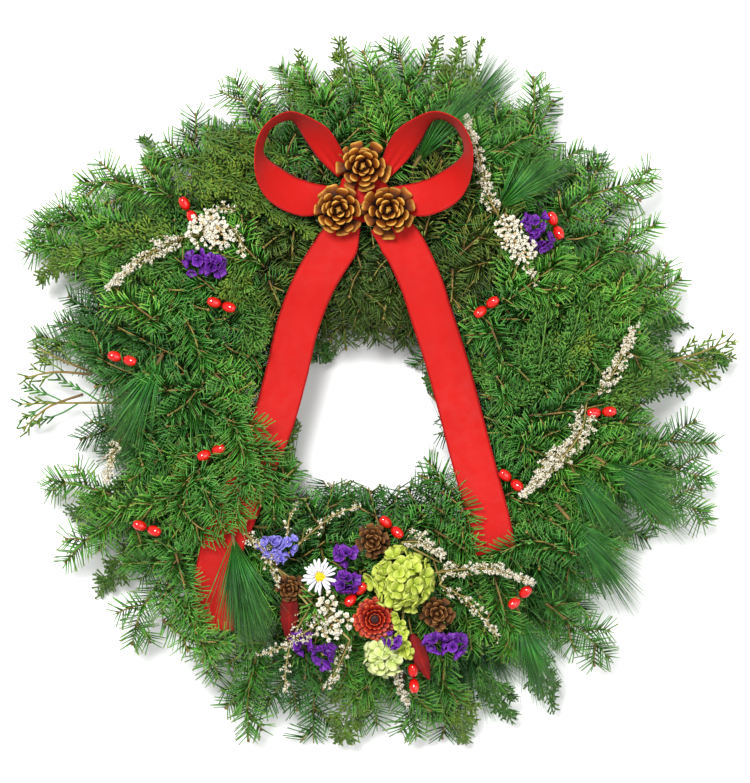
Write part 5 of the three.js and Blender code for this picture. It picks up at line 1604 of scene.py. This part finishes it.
def dome_of(draw, count, spread):
    """Ways spread evenly over a dome that faces up. spread is its depth, as a share of its radius."""
    k = np.arange(count) + 0.5
    z = 1 - spread * k / count
    turns = k * GOLDEN
    ways = np.stack([np.sqrt(1 - z * z) * np.cos(turns), np.sqrt(1 - z * z) * np.sin(turns), z], -1)
    return unit(ways + 0.06 * draw.normal(size=ways.shape))


def add_stamens(shape, draw, middle, spread, count, length, width, depth):
    """The fine bumps of a flower's middle, over a dome of the given half sizes."""
    ways = dome_of(draw, count, depth)
    lengths, widths = np.full(count, length), np.full(count, width)
    beads(shape, middle + ways * spread, ways, lengths, widths, draw.random(count), 6, 4, SECOND_COAT)


# Rings of petals from the outside in. The daisy's: count, length, lift and turn
DAISY_RINGS = [(9, 13.4, 0.0, 0.0), (8, 12.2, 0.12, 0.25), (9, 11.0, 0.22, 0.5), (6, 9.4, 0.4, 0.1)]
# The strawflower's: distance from the axis, height, count, length, width and lift
BRACT_RINGS = [
    (5.8, -1.8, 18, 13.8, 7.0, 0.02), (5.8, -0.4, 18, 13.0, 6.8, 0.25), (5.4, 1.0, 17, 11.0, 6.2, 0.6),
    (4.6, 2.2, 14, 7.6, 5.2, 1.2), (3.6, 3.0, 11, 5.6, 4.4, 2.4),
]


def make_daisy():
    """A white daisy with a yellow disc."""
    draw = np.random.default_rng(71)
    shape = Shape()
    head = np.array([-43.0, -165, 101])
    axis = unit(np.array([0.05, 0.05, 1.0]))
    for count, length, lift, turn in DAISY_RINGS:
        centre = head + axis * lift * 4
        petal_ring(shape, draw, centre, axis, count, 3.6, length, 2.7, lift, LONG_PETAL, 0.3, -0.05, turn)
    add_stamens(shape, draw, head + axis * -0.6, (4.9, 4.9, 3.6), 90, 1.5, 1.0, 0.9)
    bead(shape, head + axis * 0.2, axis, 4.6, 9.2, 0.2, 16, 7, SECOND_COAT)
    add_pick(shape, head - 1.6 * UP, THIRD_COAT)
    shape.make("daisy_bloom", [WHITE, YELLOW, STRAW], "petal_white", ["daisy"])


def make_strawflower():
    """A red-orange strawflower: stiff bracts that close round a dark middle."""
    draw = np.random.default_rng(72)
    shape = Shape()
    head = np.array([6.0, -203, 92])
    axis = unit(np.array([0.04, -0.03, 1.0]))
    for root, height, count, length, width, lift in BRACT_RINGS:
        centre = head + axis * height
        turn = draw.uniform(0, 3)
        petal_ring(shape, draw, centre, axis, count, root, length, width, lift, BRACT, 0.35, 0.06, turn)
    add_stamens(shape, draw, head + axis * 3.2, (3.2, 3.2, 2.4), 80, 1.3, 0.8, 0.8)
    bead(shape, head + axis * 1.5, axis, 8.0, 11.5, 0, 18, 7, SECOND_COAT)
    add_pick(shape, head - 2 * UP, THIRD_COAT)
    shape.make("strawflower_bloom", [FLAME, MAROON, STRAW], "strawflower", ["strawflower"])


def add_floret(shape, draw, centre, axis, size, coat=0):
    """A hydrangea floret: four round petals and a small middle."""
    root, length, width = size * 0.03, size * 0.54, size * 0.6
    chance, turn = draw.random(), draw.uniform(0, 3)
    petals = (4, root, length, width, 0.35, ROUND_PETAL, 0.4, 0.1, turn, chance, coat)
    petal_ring(shape, draw, centre, axis, *petals)
    bead(shape, centre + axis * 0.5, axis, size * 0.14, size * 0.13, draw.random(), 6, 4, coat)


# The hydrangea's heads: middle, half width, half depth, count of florets and coat
HYDRANGEA_HEADS = [((30, -167, 94), 23.0, 23.0, 34, 0), ((14, -238, 84), 12.0, 13.0, 13, 1)]


def make_hydrangea():
    """A lime hydrangea head over a small pale one, with single florets between them."""
    draw = np.random.default_rng(73)
    shape = Shape()
    for middle, wide, deep, count, coat in HYDRANGEA_HEADS:
        middle = np.array(middle, float)
        for way in dome_of(draw, count, 1.12):
            axis = unit(way * (0.8, 0.8, 1.3) + 0.26 * draw.normal(size=3))
            centre = middle + way * (wide, wide, deep) * draw.uniform(0.8, 1.12)
            add_floret(shape, draw, centre, axis, draw.uniform(15.5, 19), coat)
        bead(shape, middle + UP * deep * 0.12, UP, deep * 1.3, wide * 1.5, 0, 16, 8, coat)
    for share in np.linspace(0, 1, 9):
        spot = np.array([24 + 9 * share, -192 - 42 * share, 98 - 8 * share])
        spot = spot + draw.normal(0, 2.0, 3) * (1, 1, 0.4)
        add_floret(shape, draw, spot, unit(UP + 0.4 * draw.normal(size=3)), draw.uniform(11, 14))
    fork = np.array([31.0, -208, 74])
    for foot in ((34, -164, 94), (15, -240, 84)):
        foot = np.array(foot, float)
        add_wire(shape, [foot, (foot + fork) / 2 - UP * 2, fork], 1.1, THIRD_COAT)
    add_pick(shape, fork, THIRD_COAT)
    points, cream_coat = [(22, -243, 2), (26, -260, 4), (36, -282, 2)], 3
    add_sprig(shape, draw, points, 4.5, cream_coat, THIRD_COAT)
    shape.make("hydrangea_heads", [LIME, PALE_LIME, STRAW, CREAM], "hydrangea", ["hydrangea"])


def add_statice_head(shape, draw, x, y, size, rise, fork):
    """Papery cups, each of five crinkled petals, some with a small pale flower inside."""
    head = place(x, y, rise)
    for way in dome_of(draw, 8, 0.95):
        centre = head + way * size * (0.36, 0.36, 0.22) + draw.normal(0, 0.8, 3)
        axis = unit(way * (1.1, 1.1, 0.8) + 0.4 * draw.normal(size=3))
        length, width = size * draw.uniform(0.34, 0.46), size * draw.uniform(0.38, 0.56)
        lift, cup, curl = draw.uniform(0.35, 1.1), draw.uniform(0.2, 0.6), draw.uniform(-0.1, 0.4)
        chance, turn = draw.random(), draw.uniform(0, 3)
        petals = (5, size * 0.02, length, width, lift, FRILL, cup, curl, turn, chance)
        petal_ring(shape, draw, centre, axis, *petals)
        if draw.random() < 0.15:
            bead(shape, centre + axis * size * 0.08, axis, 1.8, 1.3, draw.random(), 6, 4, THIRD_COAT)
    add_wire(shape, [fork, (fork + head) / 2 + UP, head], 0.9, SECOND_COAT)


def add_cream_head(shape, draw, x, y, size, rise, fork, petal):
    """Small pearly florets, half open, with a few tan husks under them. petal is a petal's length,
    as a share of the head's size."""
    head = place(x, y, rise)
    for way in dome_of(draw, int(1.1 / petal**2), 0.95):
        centre = head + way * size * (0.5, 0.5, 0.28) * draw.uniform(0.75, 1.1) + draw.normal(0, 1.0, 3)
        axis = unit(way + 0.4 * draw.normal(size=3))
        length = size * petal
        lift, chance, turn = draw.uniform(0.7, 1.3), draw.uniform(0.4, 1), draw.uniform(0, 3)
        petals = (5, 0.3, length, length * 0.8, lift, ROUND_PETAL[::2], 0.6, 0.4, turn, chance)
        petal_ring(shape, draw, centre, axis, *petals)
        bead(shape, centre, axis, length * 0.6, length * 0.6, draw.random(), 6, 3)
        if draw.random() < 0.4:
            husk = centre - axis * 2.2 + draw.normal(0, 1.2, 3)
            bead(shape, husk, axis, 4.0, 2.4, draw.random(), 5, 4, THIRD_COAT)
    add_wire(shape, [fork, (fork + head) / 2 + UP, head], 0.9, SECOND_COAT)


def on_twig(start, grows, bends, shares):
    """Places at shares of a twig's length, which grows one way and bends another."""
    return start + grows * shares + bends * shares**2


def add_sprig(shape, draw, points, size, buds, stem, density=1.0, clump=(4, 8)):
    """A thin stem with side twigs by turns, each with a loose clump of tiny florets at its end.
    points are places on the mound; buds and stem are coats, and clump a range of counts."""
    line = smooth_through(np.array([place(*p) for p in points]), 60)
    places, ways, total = spaced(line, step=1.0)
    tube(shape, places[::3], 0.8, 0.4, draw.random(), 5, stem)
    at, hand = 0.04 * total, 1
    while at < total - 1:
        i, share = int(at), at / total
        up = square_to(UP, ways[i])
        turn = hand * np.radians(draw.normal(80, 28))
        lean = np.radians(draw.normal(48 - 20 * share, 7))
        aim = needle_ways(ways[i][None], up[None], np.array([lean]), np.array([turn]))[0]
        reach = size * draw.uniform(0.6, 1.35) * (1.15 - 0.75 * share**2)
        grows, bends = aim * reach, ways[i] * reach * 0.3
        twig = on_twig(places[i], grows, bends, np.array([0, 0.35, 0.7, 1.0])[:, None])
        tube(shape, twig, 0.3, 0.3, draw.random(), 3, stem)
        count = draw.integers(*clump)
        centres = on_twig(places[i], grows, bends, draw.uniform(0.35, 1.1, count)[:, None])
        centres = centres + draw.normal(0, 0.95, (count, 3))
        axes = unit(aim + 0.8 * draw.normal(size=(count, 3)))
        lengths, widths = draw.uniform(1.3, 2.4, count), draw.uniform(0.9, 1.5, count)
        beads(shape, centres, axes, lengths, widths, draw.random(count), 4, 3, buds)
        for k in np.flatnonzero(draw.random(count) < 0.4):
            add_open_bud(shape, draw, centres[k], axes[k], buds)
        at += draw.uniform(1.5, 3.4) / density
        hand = -hand


def add_open_bud(shape, draw, centre, axis, coat):
    """Five narrow petals out of one bud."""
    petals = unit(axis + 0.9 * draw.normal(size=(5, 3)))
    ups = square_to(axis + 0.1 * petals, petals)
    chances = draw.uniform(0.5, 1, 5)
    needles(shape, np.tile(centre, (5, 1)), petals, ups, np.full(5, 2.8), 1.7, chances, 0.1, 0.9, coat)


# The dried flowers. Each node has its kind, the place where its stems fork, its heads (a place, a
# size and a rise) and its sprigs (their places on the mound, a size and a density).
CLUSTERS = {
    "statice_violet": (
        "violet", (-79, -140, -10), [(-88, -138, 15, 8), (-72, -137, 14, 8), (-79, -148, 11, 6)], [],
    ),
    "statice_purple_top": ("purple", (-20, -157, -8), [(-21, -146, 17, 10), (-19, -170, 17, 10)], []),
    "statice_purple_low": ("purple", (-48, -228, -14), [(-58, -224, 17, 4), (-40, -236, 17, 4)], []),
    "statice_purple_right": ("purple", (70, -222, -14), [(61, -225, 17, 4), (79, -226, 17, 4)], []),
    "purple_bloom": ("purple", (22, -220, 0), [(22, -221, 12, 20)], []),
    "statice_left": ("purple", (-146, 115, -12), [(-154, 117, 17, 6), (-137, 114, 17, 6)], []),
    "statice_right": ("purple", (152, 143, -12), [(149, 151, 16, 6), (156, 135, 15, 6)], []),
    "cream_florets": (
        "pearl", (-31, -202, -10), [(-36, -190, 15, 10), (-24, -206, 16, 10), (-34, -212, 14, 8)], [],
    ),
    "dried_bunch_left": (
        "cream", (-146, 140, -10), [(-149, 144, 22, 8), (-133, 140, 21, 8), (-140, 152, 18, 6)],
        [([(-162, 140, 2), (-184, 130, 8), (-212, 112, 10), (-233, 94, 8)], 8, 1.5),
         ([(-146, 158, 4), (-134, 164, 8), (-118, 162, 8)], 6, 0.9),
         ([(-124, 150, 4), (-114, 136, 8), (-112, 120, 6)], 6, 0.9)],
    ),
    "dried_bunch_right": (
        "cream", (130, 136, -10), [(126, 146, 19, 8), (139, 126, 20, 8), (130, 134, 16, 10)],
        [([(118, 156, 2), (108, 174, 8), (100, 206, 10), (86, 250, 10)], 7, 1.2),
         ([(140, 116, 4), (146, 106, 6), (150, 98, 6)], 5, 0.8)],
    ),
    "heather_right": (
        "cream", (74, -158, -8), [],
        [([(58, -162, 10), (84, -158, 14), (112, -158, 14), (146, -170, 8)], 7.2, 1.1),
         ([(30, -134, 12), (46, -134, 12), (68, -146, 12)], 8, 1.4),
         ([(64, -172, 8), (86, -184, 10), (106, -206, 10), (118, -222, 6)], 6, 0.6)],
    ),
    "posy_sprigs_left": (
        "cream", (-84, -156, -8), [],
        [([(-30, -196, 8), (-58, -216, 10), (-76, -228, 8), (-98, -236, 6)], 7, 0.7),
         ([(-52, -192, 8), (-68, -222, 8), (-74, -250, 6), (-74, -270, 4)], 6, 0.6),
         ([(-16, -222, 8), (-24, -240, 8), (-36, -266, 4)], 6, 0.8),
         ([(-60, -134, 8), (-44, -120, 10), (-26, -108, 8), (-6, -102, 6)], 5, 0.6),
         ([(-72, -128, 8), (-70, -112, 10), (-62, -98, 6)], 5, 0.5),
         ([(-112, -124, 8), (-98, -136, 10), (-82, -150, 10)], 6, 0.9),
         ([(-92, -148, 8), (-84, -160, 10), (-80, -172, 8)], 5, 0.9)],
    ),
    "dried_sprig_upper": (
        "cream", None, [], [([(204, -2, -2), (216, 12, 8), (228, 34, 10), (238, 58, 8)], 8, 1.3)],
    ),
    "dried_sprig_lower": (
        "cream", None, [],
        [([(196, -8, 0), (190, -36, 10), (168, -64, 12), (138, -92, 10)], 9, 1.8),
         ([(180, -50, 4), (160, -62, 10), (150, -80, 8)], 7, 1.2)],
    ),
}

# The florets' colour of each papery kind, and a petal's share of its head in each pearly kind
PAPERY = {"violet": VIOLET, "purple": PURPLE}
PEARLY = {"cream": 0.17, "pearl": 0.3}


def make_clusters():
    """The dried flowers and sprigs, node by node, and a small bit that no node stands for."""
    for i, (node, (kind, middle, heads, sprigs)) in enumerate(CLUSTERS.items()):
        draw = np.random.default_rng(80 + i)
        shape = Shape()
        fork = place(*middle) if middle else place(*sprigs[0][0][0])
        for head in heads:
            if kind in PEARLY:
                add_cream_head(shape, draw, *head, fork, PEARLY[kind])
            else:
                add_statice_head(shape, draw, *head, fork)
        for points, size, density in sprigs:
            add_sprig(shape, draw, points, size, 0, SECOND_COAT, density, (2, 5) if size < 7 else (4, 8))
            if middle:
                start = place(*points[0])
                add_wire(shape, [fork, (fork + start) / 2, start], 0.9, SECOND_COAT)
        add_pick(shape, fork, SECOND_COAT)
        coats = [CREAM, STRAW, TAN] if kind in PEARLY else [PAPERY[kind], STRAW, CREAM]
        shape.make(f"{node}_grown", coats, "cream" if kind in PEARLY else kind, [node])
    shape = Shape()
    points = [(-222, -42, 0), (-230, -58, 6), (-234, -80, 4)]
    add_sprig(shape, np.random.default_rng(99), points, 7, 0, SECOND_COAT, 1.2)
    shape.make("dried_bit_left", [CREAM, STRAW, TAN], "cream")


def make_red_leaf():
    """The dark-red leaf at the right of the posy."""
    shape = Shape()
    foot = np.array([39.0, -217, 84])
    add_leaf(shape, foot, np.array([55.0, -258, 86]), 14)
    add_pick(shape, foot, SECOND_COAT)
    shape.make("red_leaf_blade", [LEAF_RED, STRAW], "leaf_red", ["red_leaf"])


# Floor, light and camera
FLOOR_REACH, FLOOR_HEIGHT = 6.0, -0.0006
# The lights: place in metres, size in metres and power in watts
LIGHTS = {"key": ((-0.7, 0.95, 3.1), 1.0, 128), "fill": ((1.7, -0.4, 2.2), 2.2, 32)}
SKY_STRENGTH = 0.56


def make_floor():
    """A pale floor under the wreath, which is stage and not part of it."""
    mesh = bpy.data.meshes.new("floor")
    corners = ((-1, -1), (1, -1), (1, 1), (-1, 1))
    places = [(x * FLOOR_REACH, y * FLOOR_REACH, FLOOR_HEIGHT) for x, y in corners]
    mesh.from_pydata(places, [], [(0, 1, 2, 3)])
    floor = bpy.data.objects.new("floor", mesh)
    bpy.context.scene.collection.objects.link(floor)
    paper = bpy.data.materials.new("white_paper")
    paper.use_nodes = True
    shader = paper.node_tree.nodes["Principled BSDF"]
    shader.inputs["Base Color"].default_value = (0.94, 0.94, 0.94, 1)
    shader.inputs["Roughness"].default_value = 0.8
    mesh.materials.append(paper)


def make_lights():
    """White light from all round, with a key light and a fill light."""
    scene = bpy.context.scene
    world = bpy.data.worlds.new("studio")
    world.use_nodes = True
    background = world.node_tree.nodes["Background"]
    background.inputs["Color"].default_value = (1, 1, 1, 1)
    background.inputs["Strength"].default_value = SKY_STRENGTH
    scene.world = world
    for name, (spot, size, power) in LIGHTS.items():
        light = bpy.data.lights.new(name, "AREA")
        light.size = size
        light.energy = power
        lamp = bpy.data.objects.new(name, light)
        lamp.location = spot
        lamp.rotation_euler = (-Vector(spot)).to_track_quat("-Z", "Y").to_euler()
        scene.collection.objects.link(lamp)


def make_camera():
    """A camera that looks straight down, framed as the photograph is."""
    scene = bpy.context.scene
    camera = bpy.data.cameras.new("camera")
    camera.sensor_width = 36
    camera.lens = 36 * (CAMERA_HEIGHT - FOCUS_HEIGHT) / (PHOTO_SIZE[1] * MM_PER_PIXEL)
    camera.clip_start, camera.clip_end = 0.5, 20
    eye = bpy.data.objects.new("camera", camera)
    eye.location = ((FRAME_MIDDLE[0] + RING[0]) * MM, (FRAME_MIDDLE[1] + RING[1]) * MM, CAMERA_HEIGHT * MM)
    scene.collection.objects.link(eye)
    scene.camera = eye
    scene.view_settings.view_transform = "Standard"


# The wreath, from the greenery up, and the stage that it is seen on
for bunch in BUNCHES:
    grow_bunch(bunch)
for make in (
    lay_sprays, grow_features, make_frame, make_loops, make_tails, make_knot, make_cones, make_berries,
    make_daisy, make_strawflower, make_hydrangea, make_clusters, make_red_leaf,
    make_floor, make_lights, make_camera,
):
    make()
